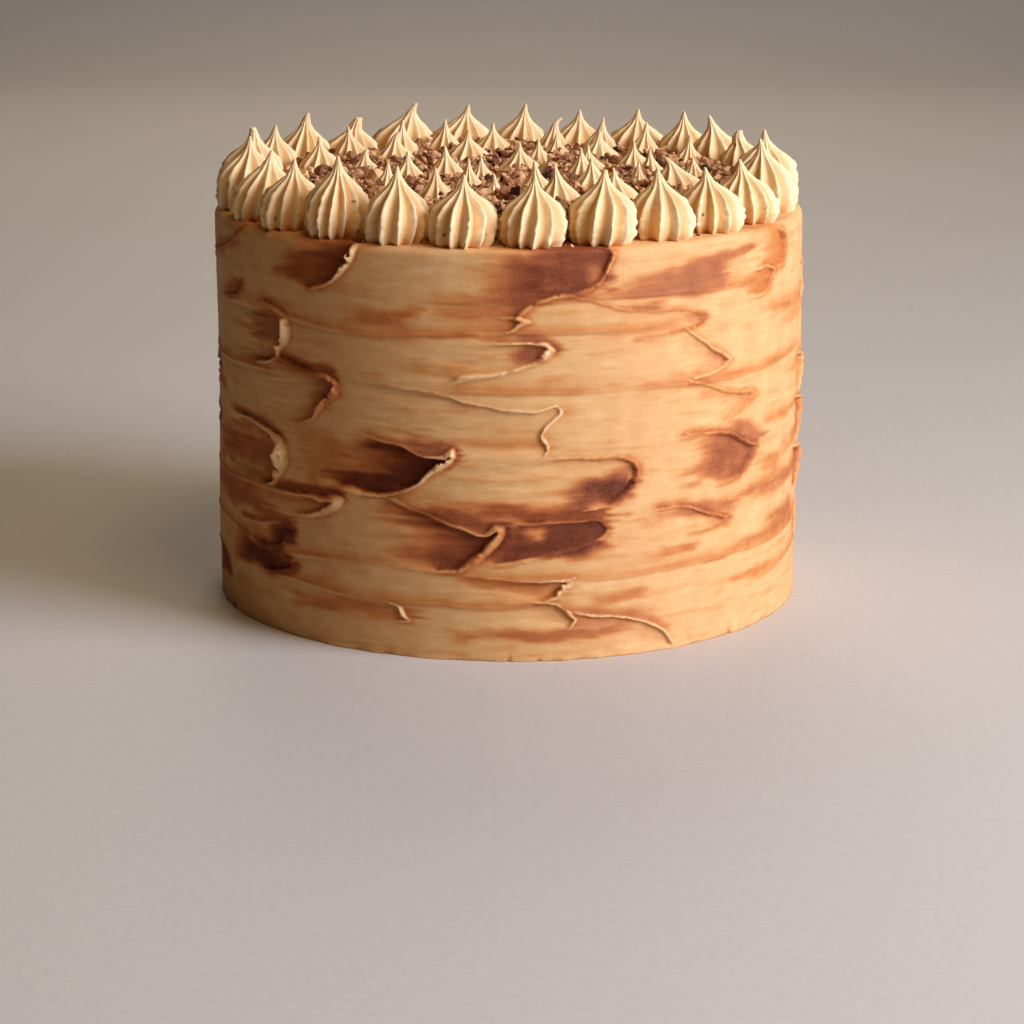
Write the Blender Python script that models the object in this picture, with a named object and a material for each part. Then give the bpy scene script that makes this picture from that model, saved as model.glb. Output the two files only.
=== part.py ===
"""A round layer cake under one coat of icing, spread in short palette-knife strokes.

Its top carries a ring of piped kisses along the rim, smaller kisses inside that ring and
chopped crumbs between them.  The origin is at the centre of the flat base, +Z is up, and the
side that the strokes were read from faces -Y.  Angles run round the cake from -Y towards +X.
"""
import math
import random
from typing import NamedTuple

import bmesh
import bpy
import numpy as np
from mathutils import Euler, Vector

MM = 0.001

# Driving dimensions, in metres
CAKE_RADIUS = 0.106
CAKE_HEIGHT = 0.1415
TOP_EDGE_ROUND = 0.003
REST_GAP = 0.0003

RIM_RADIUS = 0.094
RIM_KISS_RADIUS = 0.0116
RIM_FIRST_ANGLE = 5.2
RIM_LEAN_IN = 0.004
CRUMB_FIELD_RADIUS = 0.085
CRUMB_CLEARANCE = 0.0006

# How finely the side is first laid out, and the share of its triangles that is kept
SIDE_COLUMNS = 300
SIDE_ROWS = 84
EDGE_ROWS = 3
KEPT_SHARE = 0.074

# A kiss from its base up: share of its height, share of its radius.  It ends in a point.
KISS_PROFILE = ((0.0, 0.88), (0.35, 0.985), (0.68, 0.55))
RIM_RIDGES = 12
INNER_RIDGES = 8
GROOVE_SHARE = 0.2
KISS_TWIST = math.radians(14.0)
LEAN_POWER = 1.5
RIM_TURN_STEP = 0.4
INNER_TURN_STEP = 0.7

# The rim kisses in order round the cake: height of the tip, and how far it leans along +X, in mm
RIM_KISSES = (
    (22.8, 0.7), (23.8, 2.0), (22.8, 0.0), (21.0, 0.0), (21.2, 0.4),
    (25.5, 1.4), (25.8, 2.4), (23.5, -3.6), (25.5, -2.6), (24.7, 2.6),
    (23.9, 3.6), (22.4, 2.0), (24.3, 3.4), (24.4, 3.8), (25.9, 4.2),
    (22.0, 1.6), (25.9, -1.8), (23.7, -1.6), (26.0, -2.6), (25.5, -3.0),
    (23.7, 0.0), (23.1, -2.2), (26.4, -2.2), (24.4, -1.2), (22.6, -0.4),
)

# The inner kisses: place x and y, height, radius, then the lean of the tip along x and y, in mm
INNER_KISSES = (
    (-68, 12, 22, 9.0, -1, 0), (-43, -38, 20, 7.5, 1, 1), (-36, -12, 20, 8.0, 0, 0),
    (-25, -55, 20, 9.0, 0, 1), (-22, 3, 20, 8.0, -1, 0), (-14, -30, 20, 6.5, 0, 0),
    (-9, -12, 19, 6.0, -1, 0), (-4, -47, 17, 6.0, -1, 0), (11, -39, 20, 8.0, -2, 1),
    (18, -63, 22, 9.5, -2, 1), (4, 10, 20, 9.0, 0, 1), (11, 33, 18.5, 7.0, 0, 0),
    (18, 52, 18, 7.5, 0, 0), (30, -30, 20, 9.0, -1, 0), (27, -3, 20, 7.0, -1, 0),
    (29, 16, 18.5, 7.0, 0, 0), (33, 44, 20, 8.5, 1, 0), (38, -58, 20.5, 9.5, -2, 0),
    (46, -24, 18, 6.0, 0, 0), (46, 22, 19, 7.0, 0, 0), (52, 2, 19, 7.0, -1, 0),
    (62, -28, 21, 9.5, -6, 1), (50, 52, 22, 7.5, 2, 1), (-6, 66, 20, 8.0, 0, 0),
    (-25, 62, 22, 8.0, 1, 0), (-41, 54, 22.5, 8.5, 1, 0), (-43, 36, 21, 8.0, 1, 0),
    (-58, 42, 22, 7.5, -2, 0), (34, 64, 22.5, 7.5, 2, 0), (16, 71, 22, 7.0, 2, 0),
    (68, -6, 17, 8.5, -2, 0), (66, 30, 20, 8.0, 1, 0), (-16, 42, 20.5, 9.0, 1, 0),
    (-52, 2, 19, 7.0, 0, 0),
)

# Chopped pieces large enough to name: place x and y, half sizes along, across and up, turn, tilt
LARGE_CHUNKS = (
    (-47, -55, 7.6, 4.6, 8.0, 40, 8),
    (-9, -63, 5.6, 4.2, 8.6, -8, 10),
    (2.5, -67, 2.6, 4.8, 11.0, 20, 16),
    (-60, -22, 5.6, 4.2, 6.0, 70, 10),
    (60, 12, 5.0, 3.8, 6.4, 15, 12),
)
CRUMB_COUNT = 108
CRUMB_SMALLEST = 0.0028
CRUMB_LARGEST = 0.0062
CRUMB_SEED = 41


class Stroke(NamedTuple):
    """One palette-knife stroke: a leaf-shaped floor that ends at the right in a raised lip."""
    tip: float      # angle of the furthest right point, degrees
    level: float    # height of that point, mm
    rise: float     # reach above that point, mm
    fall: float     # reach below that point, mm
    lead: float     # how far the upper edge runs back, degrees
    trail: float    # how far the lower edge runs back, degrees
    length: float   # how far the floor runs to the left, degrees
    depth: float    # depth of the floor, mm
    lip: float      # height of the lip, mm
    width: float    # half width of the lip, mm


# The strokes of the front, right to left, so that each laps over the start of its neighbour
FRONT_STROKES = (
    Stroke(92, 118, 6, 9, 4, 8, 20, 1.0, 1.4, 2.0),
    Stroke(90, 86, 4, 11, 5, 7, 22, 1.6, 2.8, 2.2),
    Stroke(91, 69, 4, 12, 5, 6, 22, 1.6, 3.0, 2.2),
    Stroke(89, 51, 4, 12, 5, 7, 24, 1.4, 2.8, 2.2),
    Stroke(90, 32, 4, 11, 5, 7, 22, 1.2, 1.6, 2.0),
    Stroke(66, 132, 8, 6, 2, 2, 16, 1.2, 1.4, 1.8),
    Stroke(60, 124, 5, 6, 5, 2, 18, 1.0, 0.9, 1.6),
    Stroke(55.5, 66, 3, 11, 4, 7, 18, 1.3, 1.2, 1.6),
    Stroke(54.5, 84, 3, 11, 5, 10, 20, 1.0, 1.1, 1.5),
    Stroke(48.5, 45.5, 3, 8, 5, 4, 14, 0.9, 0.9, 1.4),
    Stroke(47, 100, 3, 8, 4, 9, 14, 0.8, 0.9, 1.4),
    Stroke(39.5, 115, 3, 5, 6, 3, 12, 0.6, 0.5, 1.2),
    Stroke(30, 6, 4, 5, 6, 2, 14, 0.6, 0.7, 1.4),
    Stroke(24.5, 67, 3.5, 15, 7, 8, 24, 1.1, 0.9, 1.3),
    Stroke(19.5, 138, 4, 20, 1, 18, 30, 1.1, 0.8, 1.3),
    Stroke(13, 28, 3, 9, 7, 5, 20, 0.7, 0.8, 1.5),
    Stroke(9.5, 87, 3, 15, 9, 3, 26, 0.9, 0.9, 1.3),
    Stroke(8.5, 108, 3, 11, 9, 16, 26, 1.1, 1.2, 1.6),
    Stroke(2, 116.5, 5, 4, 10, 7, 26, 0.6, 0.4, 1.2),
    Stroke(-0.5, 45, 4, 14, 5, 7, 22, 1.3, 1.5, 1.8),
    Stroke(-9.8, 71, 5, 15, 4, 14, 34, 1.9, 1.8, 1.7),
    Stroke(-18.5, 14, 4, 4, 3, 4, 18, 0.6, 0.6, 1.3),
    Stroke(-29, 138, 5, 14, 1, 8, 18, 1.6, 2.4, 2.4),
    Stroke(-32, 51.5, 3, 8, 5, 8, 18, 1.3, 1.2, 1.6),
    Stroke(-33, 91, 5, 17, 7, 14, 16, 1.5, 1.6, 1.8),
    Stroke(-44.3, 109, 8, 14, 8, 6, 22, 1.8, 2.6, 2.4),
    Stroke(-43, 24, 4, 8, 8, 12, 20, 1.4, 1.0, 1.6),
    Stroke(-45, 37, 3, 7, 9, 6, 22, 1.2, 1.2, 1.8),
    Stroke(-46.5, 64, 8, 12, 7, 4, 26, 2.2, 3.2, 2.8),
    Stroke(-74, 86, 4, 11, 6, 8, 20, 1.3, 1.4, 2.0),
    Stroke(-72, 16, 4, 8, 8, 8, 18, 1.0, 1.0, 1.8),
)

# Where a stroke's floor and lip start and stop fading, in shares of its reach up or down
FLOOR_FADE = (0.8, 1.15)
LIP_FADE = (0.65, 1.2)

# The strokes round the back follow the rows of the front
BACK_ROWS = (133, 117, 100, 83, 66, 48, 31, 14)
BACK_START = 116.0
BACK_END = 268.0
BACK_STEP = 41.0
BACK_SEED = 17

ICING = ("icing", (0.61, 0.36, 0.15), 0.55)
CREAM = ("piped_cream", (0.86, 0.62, 0.33), 0.5)


def clear_scene():
    for item in list(bpy.data.objects):
        bpy.data.objects.remove(item, do_unlink=True)


def make_material(name, colour, roughness):
    material = bpy.data.materials.new(name)
    material.use_nodes = True
    shader = material.node_tree.nodes["Principled BSDF"]
    shader.inputs["Base Color"].default_value = (*colour, 1.0)
    shader.inputs["Roughness"].default_value = roughness
    shader.inputs["Metallic"].default_value = 0.0
    return material


def add_object(name, mesh, material):
    mesh.materials.append(material)
    piece = bpy.data.objects.new(name, mesh)
    bpy.context.scene.collection.objects.link(piece)
    return piece


def apply_modifiers(piece):
    bpy.context.view_layer.update()
    evaluated = piece.evaluated_get(bpy.context.evaluated_depsgraph_get())
    settled = bpy.data.meshes.new_from_object(evaluated)
    piece.modifiers.clear()
    piece.data = settled


def back_strokes():
    """The strokes that the front doesn't show, in the same rows and of the same kinds."""
    draw = random.Random(BACK_SEED)
    strokes = []
    for row, level in enumerate(BACK_ROWS):
        angle = BACK_END - draw.uniform(0, BACK_STEP) - 6 * (row % 2)
        while angle > BACK_START:
            bold = draw.random()
            strokes.append(Stroke(
                tip=angle,
                level=level + draw.uniform(-2, 2),
                rise=draw.uniform(3, 6),
                fall=draw.uniform(9, 14),
                lead=draw.uniform(4, 8),
                trail=draw.uniform(4, 12),
                length=draw.uniform(18, 30),
                depth=0.8 + 1.1 * bold,
                lip=0.8 + 1.8 * bold * bold,
                width=1.4 + 1.0 * bold,
            ))
            angle -= BACK_STEP * draw.uniform(0.7, 1.2)
    return strokes


def smooth_step(low, high, value):
    share = np.clip((value - low) / (high - low), 0.0, 1.0)
    return share * share * (3.0 - 2.0 * share)


def side_waves(angle, level):
    """Slow unevenness of a coat laid on by hand, in mm."""
    broad = np.sin(np.radians(3 * angle + 40)) * np.sin(level / 31.0 + 1.0)
    short = np.sin(np.radians(7 * angle)) * np.sin(level / 17.0)
    return 0.5 * broad + 0.35 * short


def side_relief(angle, level):
    """How far the icing stands out from the cake's radius, in mm, at angles and heights."""
    mm_per_degree = CAKE_RADIUS / MM * math.radians(1.0)
    relief = side_waves(angle, level)
    for stroke in list(FRONT_STROKES) + back_strokes():
        above = level > stroke.level
        along = np.abs(level - stroke.level) / np.where(above, stroke.rise, stroke.fall)
        run_back = np.where(above, stroke.lead, stroke.trail) * along * along
        turned = (angle - stroke.tip + 180.0) % 360.0 - 180.0
        inside = (-run_back - turned) * mm_per_degree
        reach = stroke.length * mm_per_degree
        floor = smooth_step(0.0, 1.6 * stroke.width, inside)
        floor *= 1.0 - smooth_step(0.3 * reach, reach, inside)
        floor *= 1.0 - smooth_step(*FLOOR_FADE, along)
        lip = np.exp(-(inside / stroke.width) ** 2)
        lip *= 1.0 - smooth_step(*LIP_FADE, along)
        relief = relief * (1.0 - floor) - stroke.depth * floor + stroke.lip * lip
    return relief


def cake_profile():
    """Inset from the radius and height of each row, from the base up and over the top edge."""
    side_top = CAKE_HEIGHT - TOP_EDGE_ROUND
    rows = [(0.0, side_top * row / SIDE_ROWS) for row in range(SIDE_ROWS + 1)]
    for row in range(1, EDGE_ROWS + 1):
        turn = math.radians(90.0 * row / EDGE_ROWS)
        inset = TOP_EDGE_ROUND * (1.0 - math.cos(turn))
        rows.append((inset, side_top + TOP_EDGE_ROUND * math.sin(turn)))
    return rows


def cake_body(material):
    """The iced cake: fine rows of points with the strokes' relief, then thinned out."""
    rows = cake_profile()
    degrees = np.arange(SIDE_COLUMNS) * 360.0 / SIDE_COLUMNS
    heights = np.array([row[1] for row in rows]) / MM
    angle, level = np.meshgrid(degrees, heights)
    relief = side_relief(angle, level) * MM
    relief *= 1.0 - smooth_step(CAKE_HEIGHT / MM - 3.0, CAKE_HEIGHT / MM, level)
    shell = bmesh.new()
    rings = []
    for row, (inset, height) in enumerate(rows):
        ring = []
        for column, degree in enumerate(degrees):
            radius = CAKE_RADIUS - inset + relief[row, column]
            turn = math.radians(degree)
            place = (radius * math.sin(turn), -radius * math.cos(turn), height)
            ring.append(shell.verts.new(place))
        rings.append(ring)
    for lower, upper in zip(rings, rings[1:]):
        for column in range(SIDE_COLUMNS):
            after = (column + 1) % SIDE_COLUMNS
            shell.faces.new((lower[column], lower[after], upper[after], upper[column]))
    shell.faces.new(list(reversed(rings[0])))
    shell.faces.new(rings[-1])
    bmesh.ops.triangulate(shell, faces=list(shell.faces))
    mesh = bpy.data.meshes.new("cake")
    shell.to_mesh(mesh)
    shell.free()
    body = add_object("cake", mesh, material)
    thinner = body.modifiers.new("thin_out", "DECIMATE")
    thinner.ratio = KEPT_SHARE
    apply_modifiers(body)
    flatten_ends(body.data)
    return body


def flatten_ends(mesh):
    """Bring the points of the base and of the top back into their planes."""
    for vertex in mesh.vertices:
        if vertex.co.z < 0.2 * MM:
            vertex.co.z = 0.0
        if vertex.co.z > CAKE_HEIGHT - 0.2 * MM:
            vertex.co.z = CAKE_HEIGHT


def kiss_mesh(name, radius, height, ridges, turn, lean):
    """A piped kiss: ridges and grooves that gather, with a slight twist, in a leaning point."""
    shape = bmesh.new()
    rings = []
    for share, width in KISS_PROFILE:
        ring = []
        shift = lean * share ** LEAN_POWER
        for step in range(2 * ridges):
            depth = GROOVE_SHARE if step % 2 else 0.0
            reach = radius * width * (1.0 - depth)
            angle = turn + KISS_TWIST * share + math.pi * step / ridges
            across = reach * math.cos(angle) + shift.x
            along = reach * math.sin(angle) + shift.y
            ring.append(shape.verts.new((across, along, height * share)))
        rings.append(ring)
    for lower, upper in zip(rings, rings[1:]):
        for step in range(2 * ridges):
            after = (step + 1) % (2 * ridges)
            shape.faces.new((lower[step], lower[after], upper[after], upper[step]))
    tip = shape.verts.new((lean.x, lean.y, height))
    for step in range(2 * ridges):
        after = (step + 1) % (2 * ridges)
        shape.faces.new((rings[-1][step], rings[-1][after], tip))
    shape.faces.new(list(reversed(rings[0])))
    bmesh.ops.triangulate(shape, faces=list(shape.faces))
    mesh = bpy.data.meshes.new(name)
    shape.to_mesh(mesh)
    shape.free()
    return mesh


def rim_kiss_place(index):
    angle = math.radians(RIM_FIRST_ANGLE + index * 360.0 / len(RIM_KISSES))
    return Vector((RIM_RADIUS * math.sin(angle), -RIM_RADIUS * math.cos(angle), 0.0))


def add_rim_kisses(material):
    stand = Vector((0.0, 0.0, CAKE_HEIGHT + REST_GAP))
    for index, (height, sideways) in enumerate(RIM_KISSES):
        name = f"rim_kiss_{index + 1:02d}"
        place = rim_kiss_place(index)
        lean = Vector((sideways * MM, 0.0)) - place.to_2d().normalized() * RIM_LEAN_IN
        turn = math.atan2(place.y, place.x) + RIM_TURN_STEP * index
        mesh = kiss_mesh(name, RIM_KISS_RADIUS, height * MM, RIM_RIDGES, turn, lean)
        piece = add_object(name, mesh, material)
        piece.location = place + stand


def add_inner_kisses(material):
    stand = Vector((0.0, 0.0, CAKE_HEIGHT + REST_GAP))
    for index, (x, y, height, radius, lean_x, lean_y) in enumerate(INNER_KISSES):
        name = f"inner_kiss_{index + 1:02d}"
        lean = Vector((lean_x * MM, lean_y * MM))
        turn = INNER_TURN_STEP * index
        mesh = kiss_mesh(name, radius * MM, height * MM, INNER_RIDGES, turn, lean)
        piece = add_object(name, mesh, material)
        piece.location = Vector((x * MM, y * MM, 0.0)) + stand


def clear_of_kisses(x, y, reach):
    """Whether a crumb of this reach keeps its distance from every kiss."""
    for index in range(len(RIM_KISSES)):
        place = rim_kiss_place(index)
        if math.hypot(place.x - x, place.y - y) < RIM_KISS_RADIUS + reach + CRUMB_CLEARANCE:
            return False
    for kiss in INNER_KISSES:
        apart = math.hypot(kiss[0] * MM - x, kiss[1] * MM - y)
        if apart < kiss[3] * MM + reach + CRUMB_CLEARANCE:
            return False
    return True


def crumb_object(place, half_sizes, turn, tilt, draw, pile, faceted=False):
    """A broken lump, cubic or with more facets, sunk a little into what it lies on."""
    shape = bmesh.new()
    if faceted:
        bmesh.ops.create_icosphere(shape, subdivisions=1, radius=1.0)
    else:
        bmesh.ops.create_cube(shape, size=1.3)
    rotation = Euler((tilt, 0.0, turn)).to_matrix()
    for vertex in shape.verts:
        uneven = vertex.co * draw.uniform(0.72, 1.0)
        sized = Vector((uneven.x * half_sizes[0], uneven.y * half_sizes[1], uneven.z * half_sizes[2]))
        vertex.co = rotation @ sized + place
    bmesh.ops.triangulate(shape, faces=list(shape.faces))
    mesh = bpy.data.meshes.new("crumb")
    shape.to_mesh(mesh)
    shape.free()
    piece = bpy.data.objects.new("crumb", mesh)
    pile.objects.link(piece)


def crumb_places(draw):
    """Places and sizes of the crumbs, spread over the free top, some lying on others."""
    crumbs = []
    while len(crumbs) < CRUMB_COUNT:
        distance = CRUMB_FIELD_RADIUS * math.sqrt(draw.random())
        angle = draw.uniform(0.0, 2.0 * math.pi)
        size = draw.uniform(CRUMB_SMALLEST, CRUMB_LARGEST)
        x = distance * math.sin(angle)
        y = distance * math.cos(angle)
        if clear_of_kisses(x, y, size):
            crowding = [other for other in crumbs if math.hypot(other[0] - x, other[1] - y) < size]
            if not crowding:
                crumbs.append((x, y, size))
    return crumbs


def fuse_crumbs(cake):
    """Join the crumbs and the larger chopped pieces to the cake's top in one union."""
    pile = bpy.data.collections.new("crumbs")
    bpy.context.scene.collection.children.link(pile)
    draw = random.Random(CRUMB_SEED)
    for x, y, size in crumb_places(draw):
        half_sizes = (size, size * draw.uniform(0.7, 1.0), size * draw.uniform(1.1, 1.6))
        place = Vector((x, y, CAKE_HEIGHT + half_sizes[2] * draw.uniform(0.2, 0.55)))
        crumb_object(place, half_sizes, draw.uniform(0, math.pi), draw.uniform(-0.2, 0.2), draw, pile)
    for x, y, along, across, up, turn, tilt in LARGE_CHUNKS:
        place = Vector((x * MM, y * MM, CAKE_HEIGHT + 0.45 * up * MM))
        half_sizes = (along * MM, across * MM, up * MM)
        crumb_object(place, half_sizes, math.radians(turn), math.radians(tilt), draw, pile, True)
    union = cake.modifiers.new("crumbs", "BOOLEAN")
    union.operation = "UNION"
    union.operand_type = "COLLECTION"
    union.collection = pile
    apply_modifiers(cake)
    for piece in list(pile.objects):
        bpy.data.objects.remove(piece, do_unlink=True)
    bpy.data.collections.remove(pile)


def build():
    clear_scene()
    icing = make_material(*ICING)
    cream = make_material(*CREAM)
    cake = cake_body(icing)
    fuse_crumbs(cake)
    add_rim_kisses(cream)
    add_inner_kisses(cream)
    for piece in bpy.context.scene.objects:
        piece.data.shade_smooth()
        piece.data.set_sharp_from_angle(angle=math.radians(40.0))


build()
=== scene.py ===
"""Looks of the layer cake: smeared icing, piped kisses and a top strewn with chopped crumbs.

Angles run round the cake in degrees, from -Y towards +X, and heights on its side are in mm.
The knife strokes and the kisses' places are those of the part's own source.
"""
import math
import random
from typing import NamedTuple

import bmesh
import bpy
import numpy as np
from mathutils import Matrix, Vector


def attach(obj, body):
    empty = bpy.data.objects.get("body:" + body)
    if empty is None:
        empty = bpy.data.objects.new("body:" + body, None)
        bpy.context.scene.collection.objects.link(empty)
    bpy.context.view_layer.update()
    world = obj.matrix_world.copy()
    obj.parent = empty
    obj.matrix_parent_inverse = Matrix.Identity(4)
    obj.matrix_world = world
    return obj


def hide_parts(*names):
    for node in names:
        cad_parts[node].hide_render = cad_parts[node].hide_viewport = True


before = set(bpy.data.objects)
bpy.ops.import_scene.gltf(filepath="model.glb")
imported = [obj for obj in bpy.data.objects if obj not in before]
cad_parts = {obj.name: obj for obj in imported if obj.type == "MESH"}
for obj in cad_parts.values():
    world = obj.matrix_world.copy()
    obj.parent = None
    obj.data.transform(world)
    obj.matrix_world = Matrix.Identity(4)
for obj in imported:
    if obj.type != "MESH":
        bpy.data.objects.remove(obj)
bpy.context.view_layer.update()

MM = 0.001

# Sizes shared with the CAD
CAKE_RADIUS = 106.0
CAKE_HEIGHT = 141.5
TOP_EDGE_ROUND = 3.0
RIM_RADIUS = 94.0
RIM_KISS_RADIUS = 11.6
RIM_FIRST_ANGLE = 5.2
RIM_LEAN_IN = 4.0
MM_PER_DEGREE = CAKE_RADIUS * math.radians(1.0)

# How finely the pieces are made
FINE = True
SIDE_STEP = 0.5 if FINE else 1.0
SIDE_TRIANGLES = 190000
TOP_RINGS = 12
EDGE_ROWS = 6

# The rim kisses in order round the cake: height of the tip, and how far it leans along +X, in mm
RIM_KISSES = (
    (22.8, 0.7), (23.8, 2.0), (22.8, 0.0), (21.0, 0.0), (21.2, 0.4),
    (25.5, 1.4), (25.8, 2.4), (23.5, -3.6), (25.5, -2.6), (24.7, 2.6),
    (23.9, 3.6), (22.4, 2.0), (24.3, 3.4), (24.4, 3.8), (25.9, 4.2),
    (22.0, 1.6), (25.9, -1.8), (23.7, -1.6), (26.0, -2.6), (25.5, -3.0),
    (23.7, 0.0), (23.1, -2.2), (26.4, -2.2), (24.4, -1.2), (22.6, -0.4),
)

# The inner kisses: place x and y, height, radius, then the lean of the tip along x and y, in mm
INNER_KISSES = (
    (-68, 12, 22, 9.0, -1, 0), (-43, -38, 20, 7.5, 1, 1), (-36, -12, 20, 8.0, 0, 0),
    (-25, -55, 20, 9.0, 0, 1), (-22, 3, 20, 8.0, -1, 0), (-14, -30, 20, 6.5, 0, 0),
    (-9, -12, 19, 6.0, -1, 0), (-4, -47, 17, 6.0, -1, 0), (11, -39, 20, 8.0, -2, 1),
    (18, -63, 22, 9.5, -2, 1), (4, 10, 20, 9.0, 0, 1), (11, 33, 18.5, 7.0, 0, 0),
    (18, 52, 18, 7.5, 0, 0), (30, -30, 20, 9.0, -1, 0), (27, -3, 20, 7.0, -1, 0),
    (29, 16, 18.5, 7.0, 0, 0), (33, 44, 20, 8.5, 1, 0), (38, -58, 20.5, 9.5, -2, 0),
    (46, -24, 18, 6.0, 0, 0), (46, 22, 19, 7.0, 0, 0), (52, 2, 19, 7.0, -1, 0),
    (62, -28, 21, 9.5, -6, 1), (50, 52, 22, 7.5, 2, 1), (-6, 66, 20, 8.0, 0, 0),
    (-25, 62, 22, 8.0, 1, 0), (-41, 54, 22.5, 8.5, 1, 0), (-43, 36, 21, 8.0, 1, 0),
    (-58, 42, 22, 7.5, -2, 0), (34, 64, 22.5, 7.5, 2, 0), (16, 71, 22, 7.0, 2, 0),
    (68, -6, 17, 8.5, -2, 0), (66, 30, 20, 8.0, 1, 0), (-16, 42, 20.5, 9.0, 1, 0),
    (-52, 2, 19, 7.0, 0, 0),
)


class Stroke(NamedTuple):
    """One palette-knife stroke: a floor that ends at the right in a curled lip.

    Its edge is the outer side of the lip, as points of height in mm, angle in degrees and how
    full the lip is there, from the upper end round the tip to the lower end.
    """
    edge: tuple
    length: float   # how far the floor runs to the left, degrees
    smear: float    # how far the brown on the floor runs to the left, degrees
    depth: float    # depth of the floor, mm
    lip: float      # height of the lip, mm
    width: float    # width of the lip where it is full, mm
    brown: float    # how much brown lies on the floor, 0 to 1
    tone: float     # 0 for red-brown, 1 for a greyer purple-brown
    curl: float     # how much brown lies on the lip
    shade: float    # how much more brown lies on the floor close to the lip, as a painted shadow of the lip
    rim: float      # how much brown lies just above the upper edge


def leaf(tip, level, rise, fall, lead, trail):
    """The edge of a plain stroke that narrows to the left above and below its tip."""
    return (
        (level + rise, tip - lead, 0.15), (level + 0.6 * rise, tip - 0.4 * lead, 0.6),
        (level, tip, 1.0), (level - 0.5 * fall, tip - 0.28 * trail, 0.9),
        (level - fall, tip - trail, 0.15),
    )


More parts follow.
